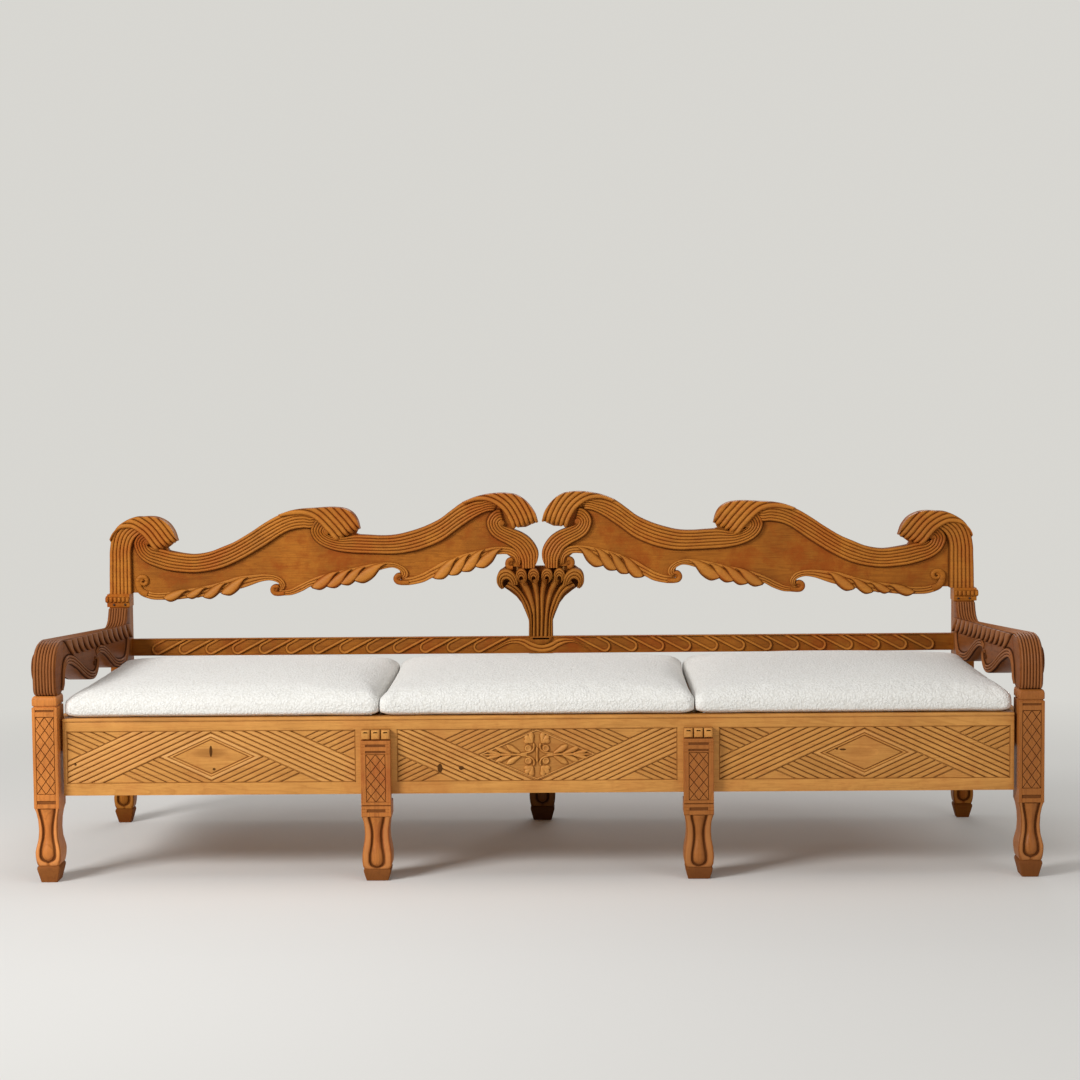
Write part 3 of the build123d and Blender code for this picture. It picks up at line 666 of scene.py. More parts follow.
class Shader(Nodes):
    """The nodes of one material."""

    def __init__(self, name):
        self.material = bpy.data.materials.new(name)
        self.material.use_nodes = True
        super().__init__(self.material.node_tree)
        self.surface = self.nodes["Principled BSDF"]

    def place(self):
        """Where a point lies in the bench's own frame."""
        return self.node("ShaderNodeTexCoord").outputs["Object"]

    def noise(self, where, scale, detail, roughness=0.5, distortion=0.0):
        """Fractal noise."""
        return self.node("ShaderNodeTexNoise", {"Vector": where}, Scale=scale, Detail=detail,
                         Roughness=roughness, Distortion=distortion).outputs["Fac"]

    def ramp(self, source, *stops):
        """A source remapped through stops of place and grey level."""
        made = self.node("ShaderNodeValToRGB", {"Fac": source})
        while len(made.color_ramp.elements) < len(stops):
            made.color_ramp.elements.new(0.5)
        for element, (place, level) in zip(made.color_ramp.elements, stops):
            element.position = place
            element.color = (level, level, level, 1.0)
        return made.outputs["Color"]

    def glaze(self, tint, mask, strength, colour):
        """A tint with a colour laid over it where a mask is high."""
        return self.mix(self.maths("MULTIPLY", mask, strength), tint, colour)

    def give(self, **values):
        """Constant values set on the surface's own sockets."""
        for key, value in values.items():
            self.surface.inputs[key.replace("_", " ")].default_value = value

    def finish(self, tint, height, strength, distance, roughness=None):
        """Colour, bump and, where it varies, roughness."""
        bump = self.node("ShaderNodeBump", {"Height": height}, Strength=strength, Distance=distance)
        self.links.new(tint, self.surface.inputs["Base Color"])
        self.links.new(bump.outputs["Normal"], self.surface.inputs["Normal"])
        if roughness:
            self.links.new(roughness, self.surface.inputs["Roughness"])


def wood(name, grain, light, dark, grime_and_shade=0.85, knots=0.6, gloss=0.42, mottle=0.3, wear_and_highlight=1.4, groove_shade=0.55,
         stain=0.22, shine=0.2):
    """Sawn wood: growth lines and fibres along the grain, knots, patina, and grime in the grooves.

    The carving's hollow attribute darkens where it is above 0, blackens above 1 and rubs bare below 0.
    """
    shader = Shader(name)
    where = shader.place()
    stretched = shader.node("ShaderNodeMapping", {"Vector": where}, Scale=GRAIN[grain]).outputs["Vector"]
    rings = shader.noise(stretched, 1.1, 3.0, 0.55, 1.6)
    lines = shader.maths("FRACT", shader.maths("MULTIPLY", rings, 11.0), 0.0)
    late = shader.ramp(lines, (0.0, 0.05), (0.62, 0.22), (0.90, 1.0), (1.0, 0.05))
    fibre = shader.noise(stretched, 22.0, 5.0, 0.7)
    pores = shader.ramp(fibre, (0.36, 1.0), (0.52, 0.0))
    cloud = shader.ramp(shader.noise(where, 5.5, 4.0, 0.62), (0.38, 0.0), (0.68, 1.0))
    dirt_and_shade = shader.ramp(shader.noise(where, 38.0, 4.0, 0.6), (0.54, 0.0), (0.74, 1.0))
    blots = shader.ramp(shader.noise(where, 9.5, 6.0, 0.68), (0.47, 0.0), (0.62, 1.0))
    squeezed = tuple(value * 0.36 + 0.9 for value in GRAIN[grain])
    knot_field = shader.node("ShaderNodeMapping", {"Vector": where}, Scale=squeezed).outputs["Vector"]
    cells = shader.node("ShaderNodeTexVoronoi", {"Vector": knot_field}, Scale=0.78, Randomness=1.0)
    knot = shader.ramp(cells.outputs["Distance"], (0.035, 1.0), (0.075, 0.45), (0.13, 0.0))
    given = shader.node("ShaderNodeAttribute", attribute_name="hollow").outputs["Fac"]
    carved = shader.maths("MAXIMUM", given, 0.0)
    rubbed_and_lit = shader.maths("MULTIPLY", shader.maths("MINIMUM", given, 0.0), -wear_and_highlight)
    tint = light
    for mask, strength, colour in (
            (late, 0.34, dark), (pores, 0.22, dark), (cloud, mottle, dark), (dirt_and_shade, 0.20, dark),
            (blots, stain, toned(light, 0.66, 0.40, 0.35)), (knot, knots, toned(dark, 0.35))):
        tint = shader.glaze(tint, mask, strength, colour)
    # Where the hollow attribute is below 0, ridge tops are rubbed lighter: wear, and a painted highlight.
    tint = shader.mix(rubbed_and_lit, tint, (min(1.0, light[0] * 1.28), light[1] * 1.55, light[2] * 2.4))
    # Hollows and grooves are painted dark: painted shade, with some grime.
    tint = shader.glaze(tint, carved, grime_and_shade, toned(dark, groove_shade))
    # Above 1 the hollow attribute paints near black: knots, holes and painted deep shade.
    tint = shader.mix(shader.maths("SUBTRACT", given, 1.0), tint, toned(dark, 0.06))
    dull = shader.maths("ADD", shader.maths("MULTIPLY", fibre, 0.22), gloss - 0.1)
    height = shader.maths("ADD", shader.maths("MULTIPLY", fibre, 0.7), shader.maths("MULTIPLY", late, 0.25))
    height = shader.maths("SUBTRACT", height, shader.maths("MULTIPLY", dirt_and_shade, 0.3))
    roughness = shader.maths("ADD", dull, shader.maths("MULTIPLY", carved, 0.45))
    shader.finish(tint, height, 0.32, 0.0009, roughness)
    shader.give(Specular_IOR_Level=shine)


def iron(name, tone):
    """Dark forged iron."""
    shader = Shader(name)
    pits = shader.noise(shader.place(), 420.0, 3.0)
    rust = shader.mix(shader.ramp(pits, (0.45, 0.0), (0.7, 0.8)), tone, (0.11, 0.045, 0.02))
    shader.finish(rust, pits, 0.5, 0.0004, shader.maths("ADD", pits, 0.1))
    shader.give(Metallic=0.75)


def looped_wool(name, light, shade):
    """Off-white looped wool: small curls, with soft light on their tops."""
    shader = Shader(name)
    where = shader.place()
    drift = shader.node("ShaderNodeTexNoise", {"Vector": where}, Scale=120.0, Detail=2.0)
    bent = shader.node("ShaderNodeVectorMath", {0: drift.outputs["Color"]}, operation="SCALE", Scale=0.007)
    moved = shader.node("ShaderNodeVectorMath", {0: where, 1: bent.outputs["Vector"]}, operation="ADD")
    curls = shader.node("ShaderNodeTexVoronoi", {"Vector": moved.outputs["Vector"]}, Scale=185.0,
                        Randomness=1.0, feature="SMOOTH_F1", Smoothness=0.35).outputs["Distance"]
    fuzz = shader.noise(where, 900.0, 4.0, 0.7)
    tufts = shader.noise(where, 38.0, 3.0)
    tint = shader.glaze(light, shader.ramp(curls, (0.30, 0.0), (0.72, 1.0)), 0.55, shade)
    tint = shader.glaze(tint, shader.ramp(fuzz, (0.35, 1.0), (0.6, 0.0)), 0.25, shade)
    tint = shader.glaze(tint, shader.ramp(tufts, (0.4, 0.0), (0.75, 1.0)), 0.10, (0.72, 0.69, 0.62))
    height = shader.maths("SUBTRACT", shader.maths("MULTIPLY", fuzz, 0.35), curls)
    height = shader.maths("ADD", height, shader.maths("MULTIPLY", tufts, 0.5))
    shader.finish(tint, height, 0.85, 0.0024)
    shader.give(Roughness=0.96, Sheen_Weight=0.35, Sheen_Roughness=0.55, Specular_IOR_Level=0.15)


def woods():
    """Every material of the bench by name; made on the first call."""
    if "cloth" not in bpy.data.materials:
        tones = bpy.context.scene.bench_colours
        for name, (_, grain, tone, share, dark_share, settings) in WOODS.items():
            light = toned(getattr(tones, tone), share)
            dark = toned(getattr(tones, tone + "_dark"), dark_share)
            wood(name, grain, light, dark, **settings)
        iron("iron", tuple(tones.iron))
        looped_wool("cloth", tuple(tones.cloth), tuple(tones.cloth_shade))
    return bpy.data.materials


# ------------------------------------------------------------------ crest
CREST_GROUND = 366.0                          # where the front of the back's boards lies
CREST_THICK = 48.0                            # from the top of the crest's relief to the back of its board
WARP_FROM = (0, 10, 100, 485, 976, 1160)      # places along the left half of the crest
WARP_TO = (0, 9, 98, 466, 959, 1160)          # the same places along the right half
LIFT_AT = (0, 150, 420, 640, 980, 1160)
LIFTED = (2.5, 2.5, 8.5, 8.5, 1.0, -5.0)      # the right half's upper edge is cut this much higher

CREST_TOP = (
    (1160, 622), (1159, 680), (1157, 740), (1151, 775), (1143, 790), (1127, 805), (1102, 821), (1082, 829),
    (1057, 831), (1037, 830), (1012, 821), (995, 807), (983, 789), (977, 768), (984, 758), (992, 750),
    (1000, 744), (997, 739), (982, 731), (957, 727), (927, 726), (897, 730), (867, 740), (837, 751),
    (807, 766), (777, 785), (747, 805), (717, 823), (687, 837), (657, 844), (617, 848), (577, 850.5),
    (552, 850.5), (527, 847), (507, 837), (492, 822), (484, 805), (485, 793), (491, 781), (477, 776),
    (447, 772.5), (417, 772), (387, 774.5), (347, 783), (307, 796), (267, 816), (237, 839), (217, 855),
    (197, 867), (177, 875), (147, 881), (107, 884.5), (87, 884.5), (62, 881), (37, 866), (19, 845),
    (9, 822), (6, 811), (17, 805), (22, 798), (37, 791), (57, 790), (72, 793), (69, 787), (47, 777),
    (27, 763), (12, 745), (5, 722), (6, 705), (12, 690), (17, 683))
CREST_FOOT = (
    (94, 684), (95, 697), (82, 711), (92, 719), (107, 720), (127, 717), (140, 710), (152, 699), (165, 690),
    (187, 690.5), (193, 684), (202, 676), (225, 675), (235, 666), (253, 667), (262, 657), (275, 652),
    (287, 654), (294, 657), (307, 654), (332, 644), (357, 641), (377, 642), (378, 660), (382, 685),
    (397, 687), (417, 684.5), (442, 677.5), (463, 669.5), (475, 659), (487, 652), (502, 652), (512, 655.5),
    (522, 648), (532, 644), (541, 646), (557, 637), (567, 637), (577, 642.5), (582, 640), (593, 632),
    (605, 628.5), (615, 629), (622, 636.5), (637, 629), (662, 621), (687, 617), (709, 617), (722, 622),
    (705, 650), (717, 656), (737, 656), (757, 653.5), (777, 649), (797, 640), (815, 635.5), (825, 627.5),
    (837, 621), (869, 621.5), (882, 612), (897, 609), (909, 611), (922, 607), (947, 607), (959, 616.5),
    (962, 614), (972, 606), (987, 603.5), (1007, 605.5), (1037, 606), (1057, 610), (1072, 618), (1077, 622))

STILE_RUNGS = (
    ((1160, 622), (1101, 622)), ((1159.5, 650), (1101, 650)), ((1159, 680), (1101, 680)),
    ((1158, 712), (1101, 708)), ((1157, 740), (1101, 735)), ((1150, 778), (1097, 757)),
    ((1136, 803), (1089, 772)), ((1112, 820), (1078, 782)), ((1088, 829), (1066, 788)),
    ((1062, 829), (1058, 790)))
LOCK_RUNGS = (
    (((1155, 762), (1157, 766)), ((1144, 783), (1149, 784)), ((1131, 795), (1135, 800)),
     ((1114, 800), (1114, 816)), ((1096, 799), (1090, 826)), ((1081, 791), (1062, 830)),
     ((1066, 779), (1030, 828)), ((1054, 764), (1002, 814)), ((1045, 751), (985, 792)),
     ((1036, 741), (977, 769))),
    (((699, 826), (703, 832)), ((668, 831), (672, 842)), ((640, 832), (640, 847)),
     ((618, 828), (605, 849)), ((601, 818), (572, 851)), ((588, 806), (545, 850.5)),
     ((577, 794), (520, 846)), ((566, 782), (501, 834)), ((558, 772), (490, 817)),
     ((551, 764), (485, 799))),
    (((206, 855), (209, 861)), ((174, 865), (177, 874)), ((149, 866), (147, 881.5)),
     ((130, 861), (117, 885)), ((114, 852), (92, 885)), ((101, 841), (66, 881)),
     ((92, 829), (44, 869)), ((85, 816), (26, 851)), ((80, 805), (13, 831)), ((77, 795), (7, 813))))
LOCK_REEDS = (12.6, 14.0, 12.6)               # the least width of a reed in each lock
WAVE_RUNGS = (
    (((1062, 793), (1055, 768)), ((1079, 780), (1058, 765)), ((1087, 770), (1060, 762)),
     ((1091, 757), (1060, 758)), ((1087, 740), (1057, 753)), ((1077, 722), (1050, 749)),
     ((1057, 706), (1036, 745)), ((1032, 695), (1015, 742)), ((997, 685), (990, 735)),
     ((957, 680), (952, 728)), ((927, 679), (925, 727)), ((897, 682), (890, 733)),
     ((867, 688), (858, 745)), ((837, 698), (822, 760)), ((797, 717), (777, 786)),
     ((767, 734), (745, 807)), ((737, 752), (712, 826)), ((707, 772), (683, 838)),
     ((687, 784), (660, 844)), ((667, 792), (640, 846)), ((637, 797), (622, 843)),
     ((618, 796), (610, 834)), ((600, 798), (598, 826))),
    (((590, 826), (566, 796)), ((603, 815), (572, 793)), ((611, 803), (575, 789)),
     ((615, 788), (575, 784)), ((609, 771), (570, 778)), ((597, 757), (560, 774)),
     ((577, 745), (545, 771)), ((547, 735), (522, 771)), ((507, 729), (495, 776)),
     ((467, 727), (463, 775)), ((427, 725.5), (427, 773)), ((397, 725), (393, 774.5)),
     ((367, 727), (360, 781)), ((327, 735), (315, 795)), ((287, 749), (272, 815)),
     ((257, 764), (243, 836)), ((227, 786), (214, 857)), ((197, 807), (190, 868)),
     ((177, 820), (168, 873)), ((157, 831), (148, 870)), ((140, 837), (128, 862)),
     ((124, 838), (114, 856))),
    (((104, 842), (99, 812)), ((119, 839), (102, 811)), ((132, 829), (105, 809)),
     ((140, 816), (106, 806)), ((142, 803), (105, 803)), ((137, 786), (101, 798)),
     ((126, 771), (93, 794)), ((108, 759), (80, 790)), ((90, 750), (64, 785)),
     ((74, 740), (46, 777)), ((63, 730), (28, 764)), ((56, 718), (13, 745)),
     ((51, 706), (5, 725)), ((49, 694), (7, 704)), ((49, 683), (17, 683))))
VOLUTES = ((1057, 762), (573, 786), (103, 805))
LEAF_SHAPE = (                                # upper and lower edge as shares along and across the leaf
    ((0.0, 0.006), (0.0, -0.006)), ((0.05, 0.04), (0.08, -0.09)), ((0.15, 0.09), (0.215, -0.186)),
    ((0.30, 0.117), (0.36, -0.20)), ((0.45, 0.135), (0.535, -0.165)), ((0.60, 0.135), (0.67, -0.10)),
    ((0.75, 0.115), (0.79, -0.035)), ((0.88, 0.07), (0.90, 0.0)), ((1.0, 0.012), (1.0, -0.004)))
CREST_LEAVES = (
    ((1016, 611), (947, 631)), ((955, 615), (898, 638)), ((909, 613), (845, 650)), ((860, 622), (787, 665)),
    ((616, 636), (541, 678)), ((576, 639), (506, 684)), ((539, 646), (471, 690)), ((504, 656), (414, 698)),
    ((287, 658), (220, 714)), ((246, 667), (189, 723)), ((214, 677), (149, 735)), ((177, 690), (102, 737)))
RIBBONS = (
    (((1061, 632), (1079, 624)), ((1045, 626), (1067, 613)), ((1025, 625), (1045, 606)),
     ((1003, 626), (1020, 605)), ((970, 632), (985, 605)), ((937, 637), (938, 610)), ((896, 644), (896, 614)),
     ((860, 653), (855, 624)), ((829, 663), (827, 630)), ((806, 668), (806, 634)), ((782, 671), (786, 640)),
     ((749, 673), (755, 651)), ((722, 671), (732, 655)), ((701, 664), (717, 653)), ((689, 651), (706, 648)),
     ((687, 640), (701, 641)), ((692, 631), (702, 636)), ((701, 628), (703, 633))),
    (((701, 630), (709, 614)), ((691, 628), (690, 614)), ((672, 632), (667, 616)), ((649, 643), (640, 626)),
     ((622, 656), (617, 638)), ((593, 668), (587, 642)), ((560, 677), (552, 648)), ((525, 684), (520, 656)),
     ((490, 691), (482, 662)), ((461, 697), (456, 672)), ((432, 701), (436, 679)), ((406, 702), (415, 685)),
     ((382, 697), (397, 687)), ((363, 686), (384, 683)), ((355, 673), (375, 676)), ((358, 661), (374, 669)),
     ((368, 657), (377, 664))),
    (((364, 660), (375, 639)), ((345, 662), (349, 640)), ((317, 672), (315, 647)), ((291, 686), (287, 660)),
     ((267, 700), (255, 668)), ((237, 712), (225, 680)), ((205, 723), (195, 690)), ((175, 731), (165, 699)),
     ((147, 737), (143, 708)), ((126, 741), (124, 718)), ((104, 742), (102, 721)), ((83, 740), (87, 720)),
     ((68, 734), (79, 717)), ((57, 723), (70, 711)), ((52, 707), (66, 701)), ((55, 690), (66, 694))))
CURLS = (
    ((703, 636), (711, 639), (719, 636), (721, 628), (716, 621), (706, 619), (690, 620)),
    ((373, 664), (380, 667), (387, 663), (389, 655), (383, 648), (371, 646), (354, 647)),
    ((74, 700), (79, 706), (86, 702), (88, 693), (83, 685), (74, 684)))


WAVE_STATIONS = (120, 110, 64)                # steps along each wave


def crest_place(side):
    """Relief on one half of the crest: along is the distance from the bench's middle."""
    def place(along, up, out):
        """Carries a point to its half."""
        if side < 0:
            return at(-along, CREST_GROUND - out, up)
        raised = up + np.interp(along, LIFT_AT, LIFTED) * ease(up, 640, 790)
        return at(np.interp(along, WARP_FROM, WARP_TO), CREST_GROUND - out, raised)
    return place


def leaf(carving, place, root, tip, lift):
    """One twisted leaf: pointed at both ends, its full lower edge over the next leaf."""
    run = np.subtract(tip, root)
    aside = np.array([run[1], -run[0]])
    rungs = [[root + along * run + across * aside for along, across in edges[::-1]] for edges in LEAF_SHAPE]
    # The leaf's edges are painted dark as shade, and a sunk stroke under its lower edge paints its shadow.
    band(carving, place, rungs, 1, lift, 5.0, stations=24, low=-6, lean=6.0, rise=0.1, roll=0.12, rim=1.0)
    stroke(carving, place, [rung[0] for rung in rungs], (0.8, 2.8, 2.8, 2.2, 0.8), 0.5, low=-6,
           lift=lift - 2.2, sunk=True)


def make_crest(side):
    """One half of the crest: board, stile, locks, waves, leaves and the ribbon below them."""
    name = "crest_" + hand(side)
    size = sizes()
    ground, reed, lift = size.crest_ground / MM, size.reed_height / MM, size.band_lift / MM
    place, deep = crest_place(side), ground - CREST_THICK
    carving = Carving()
    # The board's sunk ground is painted a little darker, as shade.
    carving.pad(place, CREST_TOP + CREST_FOOT, ((4, deep - 2), (2.4, deep), (2.4, -1), (3.4, 0)),
                (0.3, 0.2, 0.2, 0.18))
    # The stile is painted darker as shade, with a painted shadow line along its second edge.
    band(carving, place, STILE_RUNGS, 6, lift, reed, stations=48, low=deep, roll=0.05, dirt_and_shade=0.12)
    groove_shade(carving, place, STILE_RUNGS[:6], 1, 4.0)
    # Each wave is painted darker as shade, most at its start by the volute, with a painted shadow line along
    # its first edge.
    for rungs, volute, stations, roll in zip(WAVE_RUNGS, VOLUTES, WAVE_STATIONS, (0.05, 0.05, 0.0)):
        band(carving, place, rungs, 6, lift, reed, stations=stations, low=deep, rise=0.02, roll=roll,
             least=7.2, start_shade=0.3, dirt_and_shade=0.1)
        groove_shade(carving, place, rungs, 0, 4.0, 70)
        carving.pad(place, disc(volute, 8.5), ((0, -4), (0, lift + 1), (1.5, lift + 2.6), (4, lift + 3.4)),
                    (1, 0.8, 0.3, 0.2))
    for rungs, least in zip(LOCK_RUNGS, LOCK_REEDS):
        band(carving, place, rungs, 6, ground - 7.5, reed + 1.4, stations=64, low=deep, rise=0.03,
             roll=0.06, tips=8.0, least=least, dirt_and_shade=0.08)
    curl = spiral((1070, 655), 2.0, 15, 500, -1.45, 24) + [(1081, 637), (1073, 626), (1060, 620)]
    stroke(carving, place, curl, (3, 3.6, 4.4, 5.4, 6.4, 8, 10), 5.6, stations=90, low=-8, lift=2.6,
           round_ends=(True, False))
    for rungs in RIBBONS:
        band(carving, place, rungs, 3, 4.2, 2.8, stations=96, low=-10, rise=0.05, roll=0.05)
    for path in CURLS:
        stroke(carving, place, path, (4.5, 6, 6.6, 6.6, 6.4, 6), 6.0, stations=44, low=-10, lift=4.0,
               round_ends=(True, False))
        carving.pad(place, disc(np.mean(path[:5], axis=0), 8), ((0, -10), (0, 4), (1.5, 5.6), (4, 6.0)),
                    (1, 1, 0.5, 0.3))
    for root, tip in CREST_LEAVES:
        leaf(carving, place, root, tip, 12.5)
    carve(name + "_carved", carving, "brown_along", FIXED, (name,))


# ------------------------------------------------------------------ splat
SPLAT_EDGE = ((33, 441), (33, 500), (33, 541), (40, 560), (52, 588), (66, 606), (86, 622), (104, 634),
              (113, 646), (113, 662), (106, 678), (94, 688))
SPLAT_HEADS = (-51, -18, 18, 51)
SPLAT_STEMS = (
    (((-33, 497), (-33, 543), (-40, 563), (-56, 603), (-76, 623), (-95, 633)),
     ((-24.5, 497), (-24.5, 556), (-33, 590), (-56, 626), (-70, 640), (-83, 650))),
    (((-23, 497), (-22, 550), (-29.5, 583), (-44.6, 620), (-62, 650)),
     ((-14.4, 497), (-14.4, 550), (-16, 583), (-26, 623), (-42, 655))),
    (((-12.7, 497), (-12.7, 556), (-16, 606), (-25, 652)),
     ((-4.4, 497), (-3.4, 556), (-3.4, 606), (-8, 655))),
    (((-2.7, 497), (-1, 556), (-2, 606), (2, 652)), ((5.7, 497), (8, 556), (10.7, 606), (20, 655))),
    (((7.4, 497), (10.7, 556), (16.8, 606), (32, 655)), ((17.4, 497), (20.8, 560), (30.9, 606), (52, 652))),
    (((19, 497), (22.5, 556), (31, 590), (47.6, 626), (64, 645), (80, 652)),
     ((32.5, 497), (32.5, 543), (39, 563), (57.7, 606), (74.5, 623), (94, 634))))


HEAD_ANGLES = (-40, -20, 8, 36, 64, 90, 116, 144, 172, 200, 220)   # degrees round a curled head
HEAD_END = (((60, 640), (76, 640)), ((62, 656), (80, 648)), ((72, 673), (85, 654)), ((90, 683), (92, 655)),
            ((107, 678), (98, 652)), ((116, 664), (101, 647)), ((117, 647), (101, 641)),
            ((112, 634), (99, 635)), ((106, 628), (98, 631)))


def splat_place(along, up, out):
    """Relief on the splat, whose head curls forward."""
    forward = 20.0 * ease(up, 606, 664) - 6.0 * ease(up, 668, 686)
    return at(along, np.minimum(CREST_GROUND - forward - out, 396.5), up)


def make_splat():
    """The papyrus splat: a fluted shaft that opens into curled heads over deep valleys."""
    carving = Carving()
    outline = [(x, z) for x, z in SPLAT_EDGE] + [(-x, z) for x, z in SPLAT_EDGE[::-1]]
    carving.pad(on_front(397.5), outline, ((2, 0), (0.5, 1.5), (0.5, 26), (1.5, 27)), (0.2, 0.2, 0.5, 1))
    for left, right in SPLAT_STEMS:
        rungs = list(zip(smooth_path(left, 12), smooth_path(right, 12)))
        band(carving, splat_place, rungs, 2 if len(left) > 5 else 1, -4.0, 7.5, stations=44, low=-60)
    for centre in SPLAT_HEADS:
        rungs = []
        inward = -1 if centre > 0 else 1
        for cosine, sine in zip(np.cos(np.radians(HEAD_ANGLES)), np.sin(np.radians(HEAD_ANGLES))):
            outer, inner = (19.5, 7) if sine > 0 else (26, 26) if cosine * inward > 0 else (16, 16)
            rungs.append(((centre + 15.5 * max(min(cosine, 0.96), -0.96), 664 + outer * sine),
                          (centre + 5.0 * cosine, 655 + inner * sine)))
        band(carving, splat_place, rungs, 3, 4.5, 4.4, stations=38, low=-60, crown=2.5)
        # A dark oval under each head: the painted shadow of its curl.
        carving.pad(splat_place, oval((centre, 650), 5, 10, 11), ((0, -12), (0, -5), (1, -4.6)), (1, 1, 1))
    for side in (-1, 1):
        rungs = [((side * a, b), (side * c, d)) for (a, b), (c, d) in HEAD_END]
        band(carving, splat_place, rungs, 3, 5.5, 4.6, stations=40, low=-60, crown=3.0, roll=0.14, tips=2)
    half_disc = [(30 * math.cos(a), 497.5 - 21 * math.sin(a)) for a in np.linspace(0, math.pi, 15)[::-1]]
    front = on_front(CREST_GROUND)
    carving.pad(front, half_disc, ((0, -3), (0, 5.5), (2.5, 7.5), (7, 8.2)), (0.3, 0.3, 0, 0))
    carving.pad(front, disc((-24.5, 558), 2.6, 10), ((0, -3), (0, 4.2), (1.0, 4.6)), (1, 1, 1))
    carve("papyrus_splat_carved", carving, "brown_up", FIXED, ("papyrus_splat",))


# ------------------------------------------------------------------ back rail, posts and capitals
FRONT_LEG_CUTS = ((180, 0.3), (176, 1.6), (168, 3.8), (150, 6.8), (126, 8), (105, 6.6), (90, 3.2), (80, 0.9),
                  (73, 0.1), (62, 0.6), (52, 1.8), (46, 3.0), (42.5, 4.2), (40.5, 5.4), (38, 3.2), (33, 2.6),
                  (18, 6.2), (0, 10.5))
FRONT_CLUB = ((178, 17), (166, 15), (150, 11.5), (134, 9.2), (120, 8.6), (106, 9.6), (92, 12.6), (80, 14.6),
              (68, 15), (58, 15), (53, 15))
MID_LEG_CUTS = ((155, 0.3), (150, 1.8), (140, 4.6), (125, 6.2), (112, 6.6), (95, 5.4), (78, 2.2), (62, 0.3),
                (50, 0.1), (40, 0.8), (34, 2.2), (30.5, 3.8), (28.5, 5.0), (26.5, 3.4), (22, 3.4), (12, 6.0),
                (0, 9.5))
MID_CLUB = ((154, 16), (144, 14), (132, 11), (120, 9.0), (108, 8.6), (94, 9.4), (78, 11.6), (64, 14.2),
            (50, 14.6), (40, 14.6), (35, 14.6))
STRAP_HALF = 16.4                              # half the width of a slanted strap on the back rail
STRAP_TURN = math.radians(28)
STRAP_PITCH = 72.4
STRAP_FIRST = {-1: -167.0, 1: 171.0}           # where each side's row begins
STRAP_LEVELS = ((-1.2, -3), (-1.2, 0.4), (0, 0.6), (0.2, 3.4), (1.2, 5.0), (3.4, 5.6), (5.8, 4.8), (7.2, 2.8),
                (8.2, 2.2), (10.5, 2.6))
RAIL_FACE = 366.5                              # where the back rail's plain front lies
GARLAND = (((-128, 463), (-134, 456)), ((-110, 476), (-117, 465)), ((-90, 488), (-92, 477)),
           ((-66, 493), (-68, 480)), ((-45, 492), (-48, 473)), ((-24, 483), (-30, 461)),
           ((0, 476), (0, 454)), ((24, 481), (30, 459)), ((46, 492), (50, 471)), ((68, 493), (73, 480)),
           ((90, 488), (96, 479)), ((110, 476), (118, 467)), ((128, 463), (134, 457)))


def make_mid_rail():
    """The back rail: a plain board, slanted straps in two rows that lead to the splat, and a garland."""
    def sink(point):
        """Lets the front face back behind the straps."""
        if point[1] < 364:
            point[1] = RAIL_FACE
        return point

    node = "back_mid_rail"
    (_, _, foot), (_, _, top) = extent(node)
    board = Carving()
    board.core(node, sink, bevel=sizes().edge_ease, hollow=0.22)
    carve(node + "_board", board, "brown_along", FIXED, (node,))
    place = on_front(RAIL_FACE)
    rim = Carving()
    for edge in (foot + 1.2, top - 1.2):
        line = [(x, edge) for x in (-1104, -400, 400, 1104)]
        stroke(rim, place, line, (1.6, 1.6), 3.0, stations=24, low=-3)
    band(rim, place, GARLAND, 2, 1.0, 4.2, stations=90, low=-3, rise=0.08, roll=0.08)
    carve(node + "_garland", rim, "brown_along", FIXED, (node,))
    half = STRAP_HALF
    outline = [(half * math.cos(turn), half * math.sin(turn)) for turn in np.radians(range(90, 271, 15))]
    outline += [(120, -half), (120, half)]
    cosine, sine = math.cos(STRAP_TURN), math.sin(STRAP_TURN)
    for side, first in STRAP_FIRST.items():
        def slanted(along, up, out):
            """Turned to the strap's slope, lower along one side, cut off at the rail's upper edge."""
            x, z = along * cosine - up * sine, along * sine + up * cosine + half + 1.4
            over = np.maximum(z - (top - foot - 2.4), 0) / sine
            return place(first - side * (x - over * cosine), foot + z - over * sine, out - 0.06 * up)

        strap = Carving()
        # The strap's foot is painted dark as its shadow, its inner slope as shade, and its rim rubbed lighter
        # as wear and a painted highlight.
        strap.pad(slanted, outline, STRAP_LEVELS, (1, 1, 1, 0.9, 0.1, -0.3, -0.1, 0.6, 0.8, 0.3))
        row("straps_" + hand(side), strap, "brown_along", FIXED, sizes().strap_count,
            (side * STRAP_PITCH, 0, 0), (node,))


def make_back_leg(node, finish, slim):
    """An upright at the back: square shaft and moulded leg, with a slimmer club than a front post's."""
    (x0, y0, _), (x1, y1, top) = extent(node)
    carving = Carving()
    square_stack(carving, shaft(x0, x1, y0, y1, top))
    club_leg(carving, x0, x1, y0, y1, [(z * 0.94, cut) for z, cut in FRONT_LEG_CUTS],
             [(z * 0.94, half * slim) for z, half in FRONT_CLUB])
    carve(node + "_carved", carving, finish, FIXED, (node,))


def make_rear_post(side):
    """A rear post."""
    make_back_leg("rear_post_" + hand(side), "brown_up", 0.86)


def make_centre_leg():
    """The middle leg under the back."""
    # The centre leg takes the much darker copy of the brown pine: painted shade.
    make_back_leg("centre_rear_leg", "dark_up", 0.9)


CAPITAL_LEVELS = ((588, 5.5, 7.5), (589, 5, 7), (598.5, 5, 7), (600.5, 3.2, 5), (602, 3.2, 5), (614, 3.2, 5),
                  (615.5, 2.0, 3.5), (617, 2.0, 3.5), (618.5, 5, 7), (622, 5, 7))   # height, cut in x, in y


